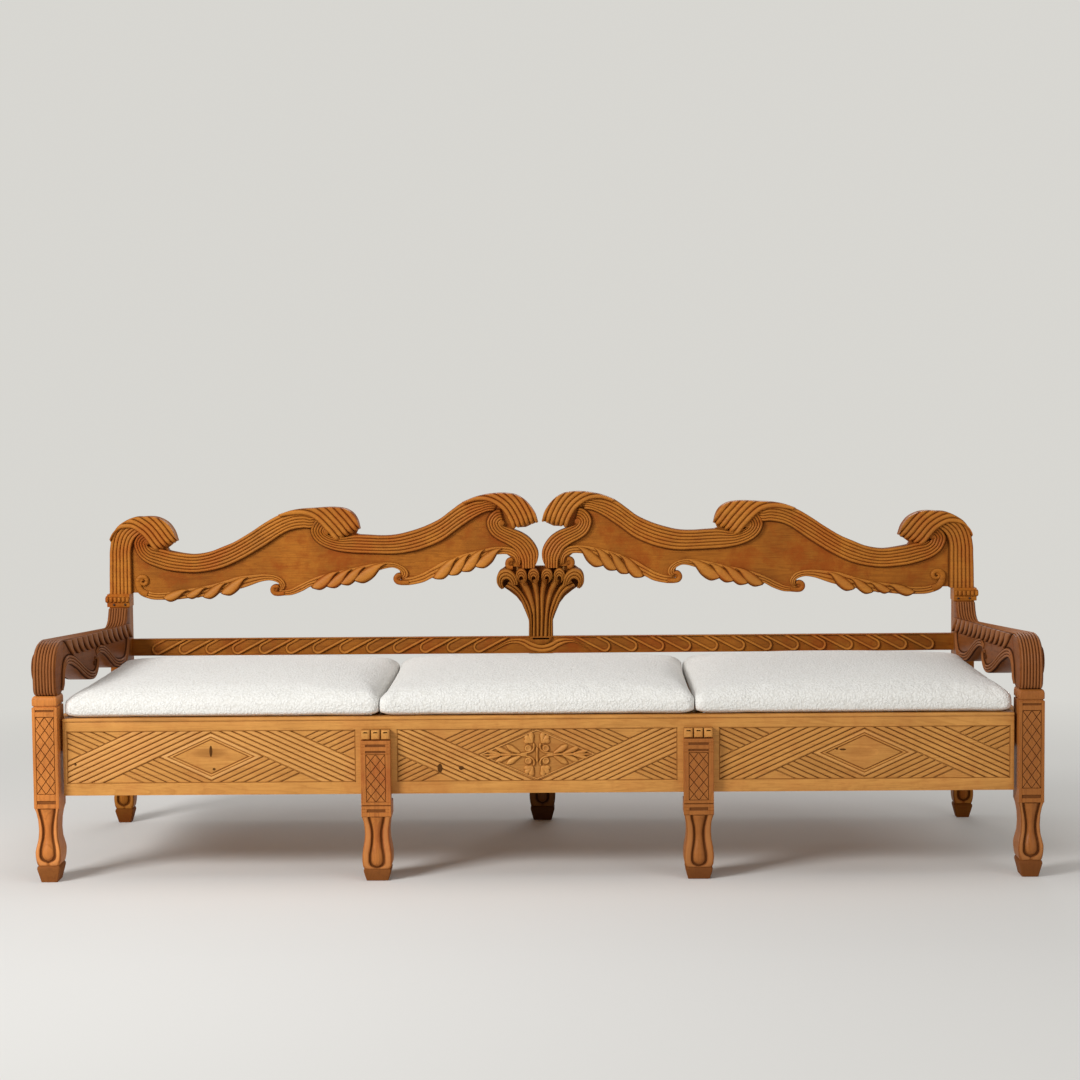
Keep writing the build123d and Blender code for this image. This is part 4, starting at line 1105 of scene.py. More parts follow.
def make_capital(side):
    """The moulded block between a rear post and the crest, with its row of beads."""
    name = "capital_" + hand(side)
    low, high = extent(name)
    inner, outer = (high[0], low[0]) if side < 0 else (low[0], high[0])
    block = Carving()
    levels = []
    for z, cut_x, cut_y in CAPITAL_LEVELS:
        near, far = sorted((inner, outer - side * cut_x))
        levels.append((z, near, far, low[1] + cut_y, high[1]))
    square_stack(block, levels, chamfer=0.8)
    carve(name + "_block", block, "brown_along", FIXED, (name,))
    count = sizes().bead_count
    width, depth = abs(outer - inner) / count, (high[1] - low[1]) / (count + 1)
    face = on_front(low[1] + 5.5)
    start = min(inner, outer) + width / 2

    def on_face(along, up, out):
        """Relief at the first bead of the capital's front."""
        return face(along + start, up, out)

    def on_end(along, up, out):
        """Relief at the first bead of the capital's outer end."""
        return at(outer - side * 3.6 + side * out, low[1] + depth + along, up)

    for kind, place, pitch, step, levels in (
            ("_beads", on_face, width, (width, 0, 0), ((0, -2), (0, 1.5), (1.2, 3.8), (3, 5.0))),
            ("_end_beads", on_end, depth, (0, depth, 0), ((0, -2), (0, 0.8), (1.2, 2.6), (3, 3.4)))):
        wide, slim = pitch * 0.43, pitch * 0.28
        bead = Carving()
        outline = [(-slim, 600.8), (slim, 600.8), (wide, 603), (wide, 613), (slim, 615.2), (-slim, 615.2),
                   (-wide, 613), (-wide, 603)]
        bead.pad(place, outline, levels, (1, 0.7, 0, 0))
        row(name + kind, bead, "brown_along", FIXED, count, step, (name,))


# ------------------------------------------------------------------ arms
ARM_PLAN_Y = (-400, -317, 348)
ARM_INNER = (1140, 1140, 1104)
ARM_OUTER = (1200, 1200, 1160)
OUTER_FACE = 0.93                          # share across the arm at which its outer face lies
ARM_LEVELS = ((4.5, 0.0), (1.4, 0.012), (0, 0.05), (0, 0.88), (1.4, 0.918), (4.5, OUTER_FACE))
SKIN = 3.6                                 # how far the arm's core lies under its reeds
NOSE = ((-386, 449), (-396, 460), (-399.5, 484), (-398.6, 515), (-390, 540), (-370, 560), (-340, 572),
        (-305, 575.4))
TOP = ((-305, 575.4), (-40, 559), (258, 541))
RISER = ((258, 541), (285, 545), (306, 560), (318, 588))
ARM_WAVE = ((252, 440), (215, 441), (170, 450), (130, 466), (88, 485), (48, 499), (12, 504))
ARM_DIP = ((3, 476), (-6, 460), (-24, 448), (-52, 445), (-92, 452), (-142, 469), (-192, 490), (-242, 507),
           (-277, 512), (-302, 504), (-313, 486))
RIBBON_FRONT = (
    ((-319, 454), (-340, 456)), ((-315, 470), (-334, 478)), ((-312, 488), (-329, 502)),
    ((-302, 504), (-312, 524)), ((-279, 511.5), (-280, 533)), ((-243, 506.5), (-236, 528)),
    ((-192, 490), (-184, 511)),
    ((-142, 469), (-134, 490)), ((-92, 452), (-87, 473)), ((-52, 445.5), (-51, 465)),
    ((-26, 449), (-31, 466)), ((-8, 460), (-19, 473)), ((1, 474), (-13, 481)), ((2, 489), (-13, 490)),
    ((-8, 498), (-19, 494)), ((-24, 500), (-27, 492)))
RIBBON_BACK = (
    ((-6, 500), (-16, 512)), ((12, 504.5), (8, 523)), ((48, 499.5), (52, 520)), ((88, 485.5), (95, 506)),
    ((130, 466.5), (138, 487)), ((170, 450.5), (177, 471)), ((215, 441.5), (219, 463)),
    ((252, 440.5), (252, 462)), ((284, 446), (272, 466)), ((304, 462), (285, 478)), ((313, 484), (293, 492)),
    ((314, 508), (294, 510)), ((306, 530), (288, 526)))


def arm_x(along, share):
    """Distance from the bench's middle along the arm; share runs from its inner face to its outer."""
    inner = np.interp(along, ARM_PLAN_Y, ARM_INNER)
    outer = np.interp(along, ARM_PLAN_Y, ARM_OUTER)
    return inner + share * (outer - inner)


GADROON_FIRST, GADROON_LAST = -276.0, 300.0
GADROON = (((-25, 570.5), (24, 569)), ((-8, 560), (32, 556)), ((10, 548), (38, 545)),
           ((28, 537), (43, 534.5)), ((43, 529.6), (44.5, 529)))


def arm_slab(side):
    """Places arm points by y, z and the share across the arm."""
    return lambda y, z, share: at(side * arm_x(y, share), y, z)


def arm_face(side, outer):
    """Relief on the inner or outer face of an arm."""
    share, turn = (OUTER_FACE, 1) if outer else (0.0, -1)
    return lambda y, z, out: at(side * (arm_x(y, share) + turn * out), y, z)


def arm_path():
    """The line over an arm's nose, top and riser: its points and outward directions."""
    path = np.concatenate([smooth_path(NOSE, 60), smooth_path(TOP, 60)[1:], smooth_path(RISER, 24)[1:]])
    return path, leftwards(unit(np.gradient(path, axis=0)))


def arm_over(side):
    """Relief on the arm's upper surface, from under the nose to the riser; across runs from inside."""
    path, outward = arm_path()
    run = run_along(path)

    def place(along, across, out):
        """Carries a point to the arm's skin."""
        y, z, turn_y, turn_z = (np.interp(along, run, values) for values in (*path.T, *outward.T))
        return at(side * arm_x(y, across / 60.0), y + turn_y * out, z + turn_z * out)
    return place, run[-1]


def arm_relief(carving, side, outer):
    """Ribbons and their eye on one face of an arm, and the volute on its outer face."""
    face = arm_face(side, outer)
    reed = 3.3 if outer else 4.0
    # The ribbons' edges are painted near black as shade, with painted shadow lines along their second edges.
    band(carving, face, RIBBON_FRONT, 3, 0.8, reed, stations=100, low=-5, rise=0.04, roll=0.06, rim=1.2)
    band(carving, face, RIBBON_BACK, 3, 0.8, reed, stations=80, low=-5, rise=0.06, rim=1.2)
    for ribbon in (RIBBON_FRONT, RIBBON_BACK):
        groove_shade(carving, face, ribbon, 1, 3.4, 60)
    curl = np.array(spiral((-31, 484), 7, 7, 0, 0.93))
    carving.pad(face, curl, ((0, -3), (0, 1.0), (2, 2.6), (4, 3.0)), (1, 1, 0.8, 0.6))
    if outer:
        volute = spiral((-357, 517), 37, 5, -60, -1.75, 40)
        stroke(carving, face, volute, (5.5, 5.0, 4.0, 3.0), 3.4, stations=110, low=-4, lift=0.2,
               round_ends=(True, False))
        eye = np.array(spiral((-357, 517), 7, 7, 0, 0.93))
        carving.pad(face, eye, ((0, -3), (0, 1.5), (2, 3.4), (4.5, 4.2)), (1, 0.5, 0, 0))


def make_arm(side):
    """An arm: slab with rounded edges, reeds over its nose and top, ribbons, volutes and gadroons."""
    name = "arm_" + hand(side)
    carving = Carving()
    path, outward = arm_path()
    skin = (path - SKIN * outward).tolist()
    under = np.concatenate([smooth_path(ARM_WAVE, 26), smooth_path(ARM_DIP, 44)]).tolist()
    scroll = [(-376, 449.2), *skin[:60:2], (-305, 492), (-311, 486), (-316, 470), (-322, 457), (-336, 449.2)]
    body = [(-317, 570.5), *skin[66::3], (348, 588), (348, 440), *under, (-317, 478)]
    for outline in (scroll, body):
        carving.pad(arm_slab(side), outline[::-1], ARM_LEVELS)
    over, length = arm_over(side)
    rungs = [((along, 2.6), (along, 53.4)) for along in np.linspace(3, length - 1, 8)]
    band(carving, over, rungs, 7, -4.8, 4.8, stations=190, low=-9)
    for outer in (False, True):
        arm_relief(carving, side, outer)
    carve(name + "_carved", carving, "arm_wood", FIXED, (name,))
    count = sizes().gadroon_count
    step = (GADROON_LAST - GADROON_FIRST) / (count - 1)
    inner_face = arm_face(side, False)

    def at_first(y, z, out):
        """Relief at the first gadroon."""
        return inner_face(y + GADROON_FIRST, z, out)

    tooth = Carving()
    # Each tooth's edges are painted near black as shade, with a painted shadow line along its first edge.
    band(tooth, at_first, GADROON, 1, 0.6, 4.6, stations=16, low=-3, lean=-3.4, rim=1.2)
    groove_shade(tooth, at_first, GADROON, 0, 2.2, 16)
    inward = float(arm_x(GADROON_FIRST + step, 0.0) - arm_x(GADROON_FIRST, 0.0))
    row(name + "_gadroons", tooth, "arm_wood", FIXED, count, (side * inward, step, -1.95), (name,))


# ------------------------------------------------------------------ front posts and mid legs
CUT_GAP = 0.55                             # half the width of a lattice groove
SMALLEST = 22                              # a lattice cell of less, in square millimetres, is left out
CAP_LEVELS = ((449, 5, 0), (447.2, 2.6, 0), (444, 1, 0), (440, 0.2, 0), (428, 0.2, 0), (426, 1.2, 0),
              (424.8, 3.4, 0), (423.2, 3.4, 0), (422, 0.4, 3), (416, 0, 3), (213, 0, 3), (181, 0, 3),
              (179.5, 0.6, 3))                 # height, cut in, set back
HEAD_LEVELS = ((0, 0), (0, 15.5), (0.7, 17.6), (2.2, 19.2), (4.2, 19.8), (7, 20))   # of a head block
HEAD_WIDE = 21.5


def lattice(carving, place, x0, x1, z0, z1, half_wide, half_high, height):
    """Crossing grooves that leave diamonds standing."""
    centre = (x0 + x1) / 2
    # A dark plate under the diamonds: painted shade in the grooves between them.
    plate(carving, place, x0, x1, z0, z1, 0.35, 0.1, 1.0)
    reach = int((x1 - x0) / half_wide + (z1 - z0) / half_high) + 3
    a, b = 1 / half_wide, 1 / half_high
    rising_from, falling_from = a * centre + b * z0, b * z0 - a * centre
    for rising in range(-reach, reach):
        strip = clip_outline(rectangle(x0, x1, z0, z1), a, b, rising_from + 2 * rising + 2)
        strip = clip_outline(strip, -a, -b, -(rising_from + 2 * rising))
        for falling in range(-reach, reach):
            cell = clip_outline(strip, -a, b, falling_from + 2 * falling + 2)
            cell = clip_outline(cell, a, -b, -(falling_from + 2 * falling))
            cell = [p for p, q in zip(cell, cell[1:] + cell[:1]) if math.dist(p, q) > 1.5]
            area = 0.5 * abs(sum(p[0] * q[1] - p[1] * q[0] for p, q in zip(cell, cell[1:] + cell[:1])))
            if len(cell) > 2 and area >= SMALLEST:
                carving.pad(place, cell, ((CUT_GAP, -2), (CUT_GAP, height - 0.8), (CUT_GAP + 0.8, height)),
                            (1, 0.6, 0))


def club_leg(carving, x0, x1, front, back, insets, club):
    """A square leg cut to a curve, with a carved club on its face and a tapered, dirty foot.

    insets are heights with how far the leg is cut in there; club holds heights with the club's half width.
    """
    centre = (x0 + x1) / 2
    heights, cuts = zip(*insets[::-1])
    club_heights, club_halves = zip(*club[::-1])
    foot, base = insets[-5][0], club_heights[0]

    def face(along, up, out):
        """Relief on the curved front of the leg."""
        return at(centre + np.asarray(along, float), front + np.interp(up, heights, cuts) - out, up)

    def half_width(z):
        """Half the leg's width at a height."""
        return (x1 - x0) / 2 - float(np.interp(z, heights, cuts))

    levels = [(z, x0 + cut, x1 - cut, front + cut + (6.0 if z > foot else 0), back - cut * 0.8)
              for z, cut in insets]
    square_stack(carving, levels, dirty_below=foot + 1)
    climb = np.linspace(heights[-1] - 0.5, foot + 1, 26)
    # A dark plate at the floor of the groove round the club: painted shade.
    corners = ((-1, -5.4), (1, -5.4), (1, -9), (-1, -9))
    carving.tube([[face(side * (half_width(z) - 1.2), z, out) for side, out in corners] for z in climb], 1.0)
    for side in (-1, 1):
        rungs = []
        for z in climb:
            inner = float(np.interp(z, club_heights, club_halves)) + 4.6
            if z < base + 13:
                inner = (club_halves[2] + 4.6) * math.sqrt(max(0.001, 1 - ((base + 13 - z) / 17.5) ** 2))
            if z < base - 4:
                inner = 0.3
            rungs.append(((side * (half_width(z) - 0.6), z), (side * min(inner, half_width(z) - 2.2), z)))
        band(carving, face, rungs, 1, -1.6, 1.5, stations=52, low=-9)
    stroke(carving, face, [(0, z) for z, _ in club], club_halves[::-1], 8.4, stations=46, low=-9, lift=-6.4,
           round_ends=(False, True))


def make_front_post(side):
    """A front post: cap, slots, lattice and club leg."""
    name = "front_post_" + hand(side)
    (x0, front, _), (x1, back, _) = extent(name)
    centre, edge = (x0 + x1) / 2, (x1 - x0) / 2
    carving = Carving()
    square_stack(carving, [(z, x0 + inset, x1 - inset, front + inset + sink, back - inset)
                           for z, inset, sink in CAP_LEVELS])

    def face(along, up, out):
        """Relief on the front, from its middle."""
        return at(along + centre, front + 3 - out, up)

    bars(carving, face, 22.5, ((416.5, 421.8), (400, 411.5), (198, 213.5), (179.6, 190)), 3)
    for left, right in ((-edge, -22.5), (22.5, edge)):
        plate(carving, face, left, right, 179.6, 421.8, 3)
    # Low plates in the slots, painted dark as shade.
    bars(carving, face, 22.5, ((411, 417), (189.5, 198.5)), 0.5, 0.1, 0.9)
    lattice(carving, face, -22, 22, 214, 399.5, 11, 15.4, 2.7)
    club_leg(carving, x0, x1, front, back, FRONT_LEG_CUTS, FRONT_CLUB)
    # The left post takes the lit copy of its pine and the right one the shaded copy: painted light and shade.
    carve(name + "_carved", carving, "honey_up_light" if side < 0 else "honey_up_dark", FIXED, (name,))


def make_mid_leg(side):
    """A leg that travels with the seat front: facing with bands and lattice, club leg, three head blocks."""
    name = "mid_leg_" + hand(side)
    (x0, front, _), (x1, back, top) = extent(name)
    centre, edge = (x0 + x1) / 2, (x1 - x0) / 2
    behind, sunk = front + 25, front + 3
    carving = Carving()
    square_stack(carving, [(top, x0 + 1, x1 - 1, sunk + 1, behind), (top - 1.5, x0, x1, sunk, behind),
                           (188, x0, x1, sunk, behind), (186, x0, x1, sunk, behind)])
    square_stack(carving, [(188, x0, x1, sunk, back), (156.5, x0, x1, sunk, back),
                           (155, x0 + 0.4, x1 - 0.4, sunk, back)])

    def face(along, up, out):
        """Relief on the front, from its middle."""
        return at(along + centre, sunk - out, up)

    bars(carving, face, edge, ((328.5, top - 0.4), (313, 322.5), (305, 307.5), (183, 190), (173, 180.5),
                               (155.2, 165.5)), 3)
    # Low plates in the slots, painted dark as shade.
    bars(carving, face, edge - 1, ((322, 329), (307, 313.5), (180, 183.5), (165, 173.5)), 0.6, 0.1, 0.9)
    for z0, z1, inside in ((322.5, 328.5, 24), (307.5, 313, 24), (190, 305, 23.5), (165.5, 173, 22)):
        for left, right in ((-edge, -inside), (inside, edge)):
            plate(carving, face, left, right, z0, z1, 3)
    lattice(carving, face, -23, 23, 190.5, 304.5, 11.5, 14.25, 2.7)
    club_leg(carving, x0, x1, front, back, MID_LEG_CUTS, MID_CLUB)
    # The right mid leg takes the shaded copy of its pine: painted shade.
    carve(name + "_carved", carving, "honey_up" if side < 0 else "honey_up_dark", PULLED, (name,))
    blocks = "leg_head_blocks_" + hand(side)
    (_, _, z0), (_, behind, z1) = extent(blocks)
    left, right = x0 + 1, x0 + 1 + HEAD_WIDE
    outline = [(left, z0), (right, z0), (right, z1 - 1.5), (right - 1.5, z1), (left + 1.5, z1),
               (left, z1 - 1.5)]
    block = Carving()
    block.pad(on_front(behind), outline, HEAD_LEVELS, (1, 0.6, 0.2, 0, 0, 0))
    pitch = (x1 - x0 - 2 - HEAD_WIDE) / 2
    row(name + "_head_blocks", block, "honey_deep", PULLED, 3, (pitch, 0, 0), (blocks,))


# ------------------------------------------------------------------ seat front
PANEL_BOTTOM, PANEL_TOP = 235.0, 361.0
PLANK = on_front(-361.0)                   # relief on the sunk panels
SLOPE = 0.46
OVER_NEAR, OVER_FAR = 263.0, 460.0         # where the upper strap's edges would meet the panel's foot
ORNAMENT_NEAR = 278.0                      # the near edge in the middle panel, whose lozenge is larger
UNDER_FAR = 436.0                          # the same for the far edge of the strap that it covers
PANEL_MARKS = ((-1104, 281, 3.0, 2.8, 5.9), (-232, 267, 6.0, 11.0, 5.9), (-181, 267, 6.0, 5.0, 5.9),
               (-779, 311, 3.6, 14.0, 5.6), (-772, 268, 3.4, 3.0, 5.9), (727, 305.5, 8.0, 2.2, 5.6),
               (713, 307, 3.0, 2.0, 5.6))           # a nail hole and knots: x, z, half sizes, height
PANEL_STAINS = ((-780, 307, 54, 15, 4.95, 0.75), (764, 299, 52, 17, 4.95, 0.4))   # and how dark each is
PANELS = (("panel_left", -1124, -433, False, False, 0.0), ("panel_centre", -334, 334, True, True, 0.04),
          ("panel_right", 433, 1124, False, False, 0.16))   # name, ends, turned over, ornament, and how much darker its relief is painted as shade
ORNAMENT_LEVELS = ((0, -3), (0, 3.6), (1.0, 4.4), (2.2, 4.3), (3.2, 1.4), (5.0, 1.2))
LOZENGE_LEVELS = ((0, -3), (0, 1.2), (1.2, 4.4), (3.4, 5.4), (7.0, 5.3), (8.2, 3.0), (9.2, 2.6), (10.0, 4.6),
                  (12.6, 4.4), (13.6, 2.0), (14.8, 2.4), (16, 4.6), (18, 4.8))
LOZENGE_SHADES = np.array((1, 0.8, 0.0, -0.3, -0.25, 0.7, 0.9, -0.1, -0.1, 0.9, 1, 0.05, 0.05))
PALMETTE = (((14, 53), (13, 39)), ((29, 45), (22, 39)), ((31, 31), (21, 32)))   # tip and bend of each leaf
SPRAY = (((38, 3), (53, 10), (73, 23), 6.2), ((60, 1.5), (78, 8), (100, 17.5), 5.4),
         ((85, 1.5), (103, 5), (121, 9), 4.2))   # root, bend, tip and half width of each leaf
BERRY_LEVELS = ((0, -2), (0, 1.4), (1.6, 1.5), (1.8, 3.8), (3.0, 5.4), (4.6, 5.6), (6.4, 4.2))


def panel_patches(half_width, near):
    """Convex fields of the left half of an interlaced panel, right of its left edge, left of its middle.

    Each ridged one is an outline, which way its ridges run, and how high they stand; then come the blanks.
    """
    z0, z1 = PANEL_BOTTOM, PANEL_TOP
    whole = rectangle(-half_width, 0, z0, z1)

    def over(outline, edge, above):
        """Keeps what lies above, or below, one rising edge."""
        limit = z0 + SLOPE * edge
        return clip_outline(outline, SLOPE, -1, -limit) if above else clip_outline(outline, -SLOPE, 1, limit)

    def under(outline, edge, above):
        """Keeps what lies above, or below, one falling edge."""
        limit = z1 - SLOPE * edge
        return clip_outline(outline, -SLOPE, -1, -limit) if above else clip_outline(outline, SLOPE, 1, limit)

    gap = 1.6 / SLOPE
    rising = over(over(whole, near, True), OVER_FAR, False)
    falling = under(under(whole, near, False), UNDER_FAR, True)
    left, right = under(whole, UNDER_FAR + gap, False), under(whole, near - gap, True)
    first, second = over(falling, OVER_FAR + gap, True), over(falling, near - gap, False)
    blanks = [over(field, OVER_FAR + gap, True) for field in (left, right)] + [over(left, near - gap, False)]
    return ((rising, 1, 5.3), (first, -1, 4.3), (second, -1, 4.3)), blanks


def panel_relief(carving, left, right, upside_down, ornament, dirt_and_shade):
    """One interlaced panel with its lozenge."""
    centre, half = (left + right) / 2, (right - left) / 2

    def view(mirror):
        """Places a panel point, mirrored and turned over as asked."""
        def place(along, up, out):
            """Carries a point to the panel."""
            return PLANK(centre + mirror * along, PANEL_BOTTOM + PANEL_TOP - up if upside_down else up, out)
        return place

    near = ORNAMENT_NEAR if ornament else OVER_NEAR
    patches, blanks = panel_patches(half, near)
    # each way's start, pitch and painted shade; the straps that pass under are painted darker
    ridges = {1: (PANEL_BOTTOM + SLOPE * near, SLOPE * (OVER_FAR - near) / 7, dirt_and_shade),
              -1: (PANEL_TOP - SLOPE * near, SLOPE * (UNDER_FAR - near) / 6, dirt_and_shade + 0.22)}
    for place in (view(1), view(-1)):
        for outline, way, top in patches:
            start, pitch, shade = ridges[way]
            ridge_patch(carving, place, outline, way * SLOPE, start, pitch, -3.0, 0.7, top, shade)
        for outline in blanks:
            if len(outline) > 2:
                carving.pad(place, outline, ((0, -3), (0, 3.6), (1.2, 4.6)), (1, 0.6, dirt_and_shade))
    middle = (PANEL_BOTTOM + PANEL_TOP) / 2
    reach = near - (middle - PANEL_BOTTOM) / SLOPE - 2.4
    rise = min(reach * SLOPE, 60.5)
    lozenge = [(-reach, middle), (0, middle - rise), (reach, middle), (0, middle + rise)]
    if ornament:
        carving.pad(view(1), lozenge, ORNAMENT_LEVELS, (1, 0.6, -0.15, -0.1, 1, 0.45))
        panel_ornament(carving, lambda along, up, out: PLANK(centre + along, up, out), middle)
    else:
        carving.pad(view(1), lozenge, LOZENGE_LEVELS, LOZENGE_SHADES + dirt_and_shade)
    for x, z, wide, tall, height, strength in PANEL_STAINS:
        if left < x < right:
            ring = oval((0, 0), wide, tall, 20)
            rings = [PLANK(x + ring[:, 0] * share, z + ring[:, 1] * share, height + thick)
                     for share, thick in ((1.0, -0.3), (0.85, 0), (0.55, 0.02), (0.2, 0.03))]
            shade = np.array((0, 0.2, 0.8, 1.0)) * strength
            carving.tube(rings, np.repeat(shade[:, None], len(ring), 1))
    # Dark strips along the panel's edges: painted shade where the panel lies sunk.
    for z0, z1 in ((PANEL_BOTTOM, PANEL_BOTTOM + 2), (PANEL_TOP - 2, PANEL_TOP)):
        plate(carving, PLANK, left, right, z0, z1, 5.5, 0.1, 1.0)
    for x0, x1 in ((left, left + 2.4), (right - 2.4, right)):
        plate(carving, PLANK, x0, x1, PANEL_BOTTOM, PANEL_TOP, 5.5, 0.1, 1.0)


def sprig(carving, place, path, widths, height=4.6):
    """A raised leaf or stem with a dark cut round it."""
    path = smooth_path(path, 9)
    stroke(carving, lambda along, up, out: place(along, up, np.minimum(out, 1.5)), path,
           [width + 2.6 for width in widths], 3.0, stations=20, low=-2, lift=1.3, sunk=True)
    stroke(carving, place, path, widths, height, stations=20, low=-2, lift=1.6)


def panel_ornament(carving, place, middle):
    """Four berries in curled stems round a small cross, with palmettes and a leaf spray to each side."""
    for x in (-1, 1):
        for z in (-1, 1):
            def line(*points):
                """Points given from the panel's middle, mirrored into this quarter."""
                return [(x * a, middle + z * b) for a, b in points]

            stem = line((40, 1.5), (24, 4), (12, 9), (7, 18), (9, 28))
            sprig(carving, place, stem, (2.8, 2.2, 2.2, 2.2, 2.8))
            for tip, bend in PALMETTE:
                sprig(carving, place, line((10, 27), bend, tip), (2.2, 4.4, 6.8, 6.4), 5.2)
            for root, bend, tip, wide in SPRAY:
                sprig(carving, place, line(root, bend, tip), (1.6, wide * 0.8, wide * 1.15, wide * 0.5), 5.2)
            carving.pad(place, disc(*line((21, 15)), 10.2), BERRY_LEVELS, (1, 1, 1, 0.5, -0.1, 0.0, 0.4))
        sprig(carving, place, [(x * along, middle) for along in (22, 80, 132)], (3.4, 2.4, 3.4, 1.2))
    sprig(carving, place, [(0, middle - 18), (0, middle), (0, middle + 18)], (3.4, 1.6, 3.4))


def make_core(node, ending, finish, body, bevel):
    """A sawn board with eased edges."""
    board = Carving()
    board.core(node, bevel=bevel)
    carve(node + ending, board, finish, body, (node,))


def make_seat_front():
    """The long carved plank, its three panels and the thin strip on top of it."""
    make_core("front_plank", "_board", "honey_along", PULLED, sizes().edge_ease)
    for name, left, right, *look in PANELS:
        carving = Carving()
        panel_relief(carving, left, right, *look)
        for x, z, wide, tall, height in PANEL_MARKS:
            if left < x < right:
                carving.pad(PLANK, oval((x, z), wide, tall, 10), ((0, -3), (0, height - 0.4), (0.4, height)),
                            (1.7, 1.7, 1.7))
        carve("front_plank_" + name, carving, "honey_along", PULLED, ("front_plank",))
    make_core("seat_edge_strip", "_eased", "honey_along", PULLED, 0.0028)


# ------------------------------------------------------------------ slats, nails and hidden boards
SLAT_WIDE, SLAT_THICK, SLAT_PITCH = 62.0, 18.0, 146.8


def make_slats(node, body):
    """One set of slats, laid side by side with gaps for the other set."""
    low, high = extent(node)
    half = np.array((SLAT_WIDE / 2, SLAT_THICK / 2))
    section = rounded(*half, 3, 30) + low[::2] + half
    slat = Carving()
    slat.pad(lambda along, up, out: at(along, out, up), section,
             ((1.4, low[1]), (0, low[1] + 1.4), (0, high[1] - 1.4), (1.4, high[1])))
    reach = high[0] - low[0] - SLAT_WIDE
    count = round(reach / SLAT_PITCH) + 1
    row(node + "_row", slat, "plain_deep", body, count, (reach / (count - 1), 0, 0), (node,))


def islands(node):
    """Lowest and highest corner of each separate part of a frame node, in millimetres."""
    copy = merged_copy(node)
    left = set(copy.verts)
    found = []
    while left:
        reach = [left.pop()]
        for vertex in reach:
            for edge in vertex.link_edges:
                other = edge.other_vert(vertex)
                if other in left:
                    left.remove(other)
                    reach.append(other)
        points = np.array([vertex.co for vertex in reach]) / MM
        found.append((points.min(0), points.max(0)))
    copy.free()
    return sorted(found, key=lambda box: tuple(box[0]))


def make_nails(node, body, forward):
    """Forged heads where a node's nails end: on the front of a capital, or on top of the slats."""
    name = node[:-1] + "_heads"
    heads = []
    for low, high in islands(node):
        middle = (low + high) / 2
        axis, under = (1, 1.9) if forward else (2, 0.7)
        middle[axis] = high[axis] - under
        heads.append(middle)
    mesh = bpy.data.meshes.new(name + "_places")
    mesh.from_pydata((np.array(heads) * MM).tolist(), [], [])
    turn = (math.radians(90 if forward else 0), 0, 0)
    values = {"Radius": 0.0033, "Height": 0.0015, "Turn": turn, "Seed": 7}
    made = grown(name, mesh, "Nail heads", make_nail_group, woods()["iron"], values)
    show(name, made, body, "iron_nail", (node,))


PLAIN_BOARDS = {
    "side_rail_left": ("honey_deep", FIXED), "side_rail_right": ("honey_deep", FIXED),
    "rear_seat_rail": ("brown_along", FIXED), "rear_slat_ledger": ("plain_along", FIXED),
    "front_bearer": ("plain_along", FIXED), "centre_bearer": ("plain_deep", FIXED),
    "slat_ledger": ("plain_along", PULLED), "slat_tail_bar": ("plain_along", PULLED),
}


def make_plain_boards():
    """Rails, bearers and ledgers: sawn boards with eased edges; pegs and dowels keep their shape."""
    for node, (finish, body) in PLAIN_BOARDS.items():
        make_core(node, "_eased", finish, body, sizes().edge_ease)
    for node in ("tenon_pegs", "arm_dowels", "crest_dowels"):
        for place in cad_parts[node].material_slots:
            place.material = woods()["peg_wood"]


# ------------------------------------------------------------------ cushions
CUSHION_RINGS = ((30, 1.5), (13, 2), (5, 7), (2, 15), (2, 27), (6, 38), (14, 46), (30, 51))   # inset, height
CLOTH_FRAMES = 20
ROUND = math.radians(180)      # smooth shading everywhere


def read_points(mesh):
    """A mesh's points in rows."""
    points = np.empty(len(mesh.vertices) * 3)
    mesh.vertices.foreach_get("co", points)
    return points.reshape(-1, 3)


def write_points(mesh, points):
    """Puts rows of points back into a mesh."""
    mesh.vertices.foreach_set("co", points.ravel())
    mesh.update()


def make_cushion(node, body, name, seed):
    """A stuffed seat cushion in looped wool: a rounded pad blown up as cloth."""
    low, high = extent(node)
    size = sizes()
    half, middle = (high - low) / 2, (low + high) / 2
    rings = []
    for inset, z in CUSHION_RINGS:
        plan = rounded(half[0] - inset, half[1] - inset, max(30 - inset, 4), 15)
        rings.append([(middle[0] + x, middle[1] + y, low[2] + z) for x, y in plan])
    carving = Carving()
    carving.tube(rings)
    form = put(name + "_form", carved_mesh(name + "_form", carving))
    shrink = form.modifiers.new("Voxels", "REMESH")
    shrink.mode = "VOXEL"
    shrink.voxel_size = size.cushion_voxel
    shrink.use_smooth_shade = True
    mesh = now(form)
    bpy.data.objects.remove(form)
    shape_cushion(mesh, middle, half, low[2], high[2] - low[2], seed)
    piece = put(name, mesh)
    swell_cloth(piece, size)
    settle_cushion(mesh, low, high)
    rounding = piece.modifiers.new("Rounding", "SUBSURF")
    rounding.levels = rounding.render_levels = 1
    finish_mesh(mesh, woods()["cloth"], ROUND)
    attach(piece, body)
    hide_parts(node)


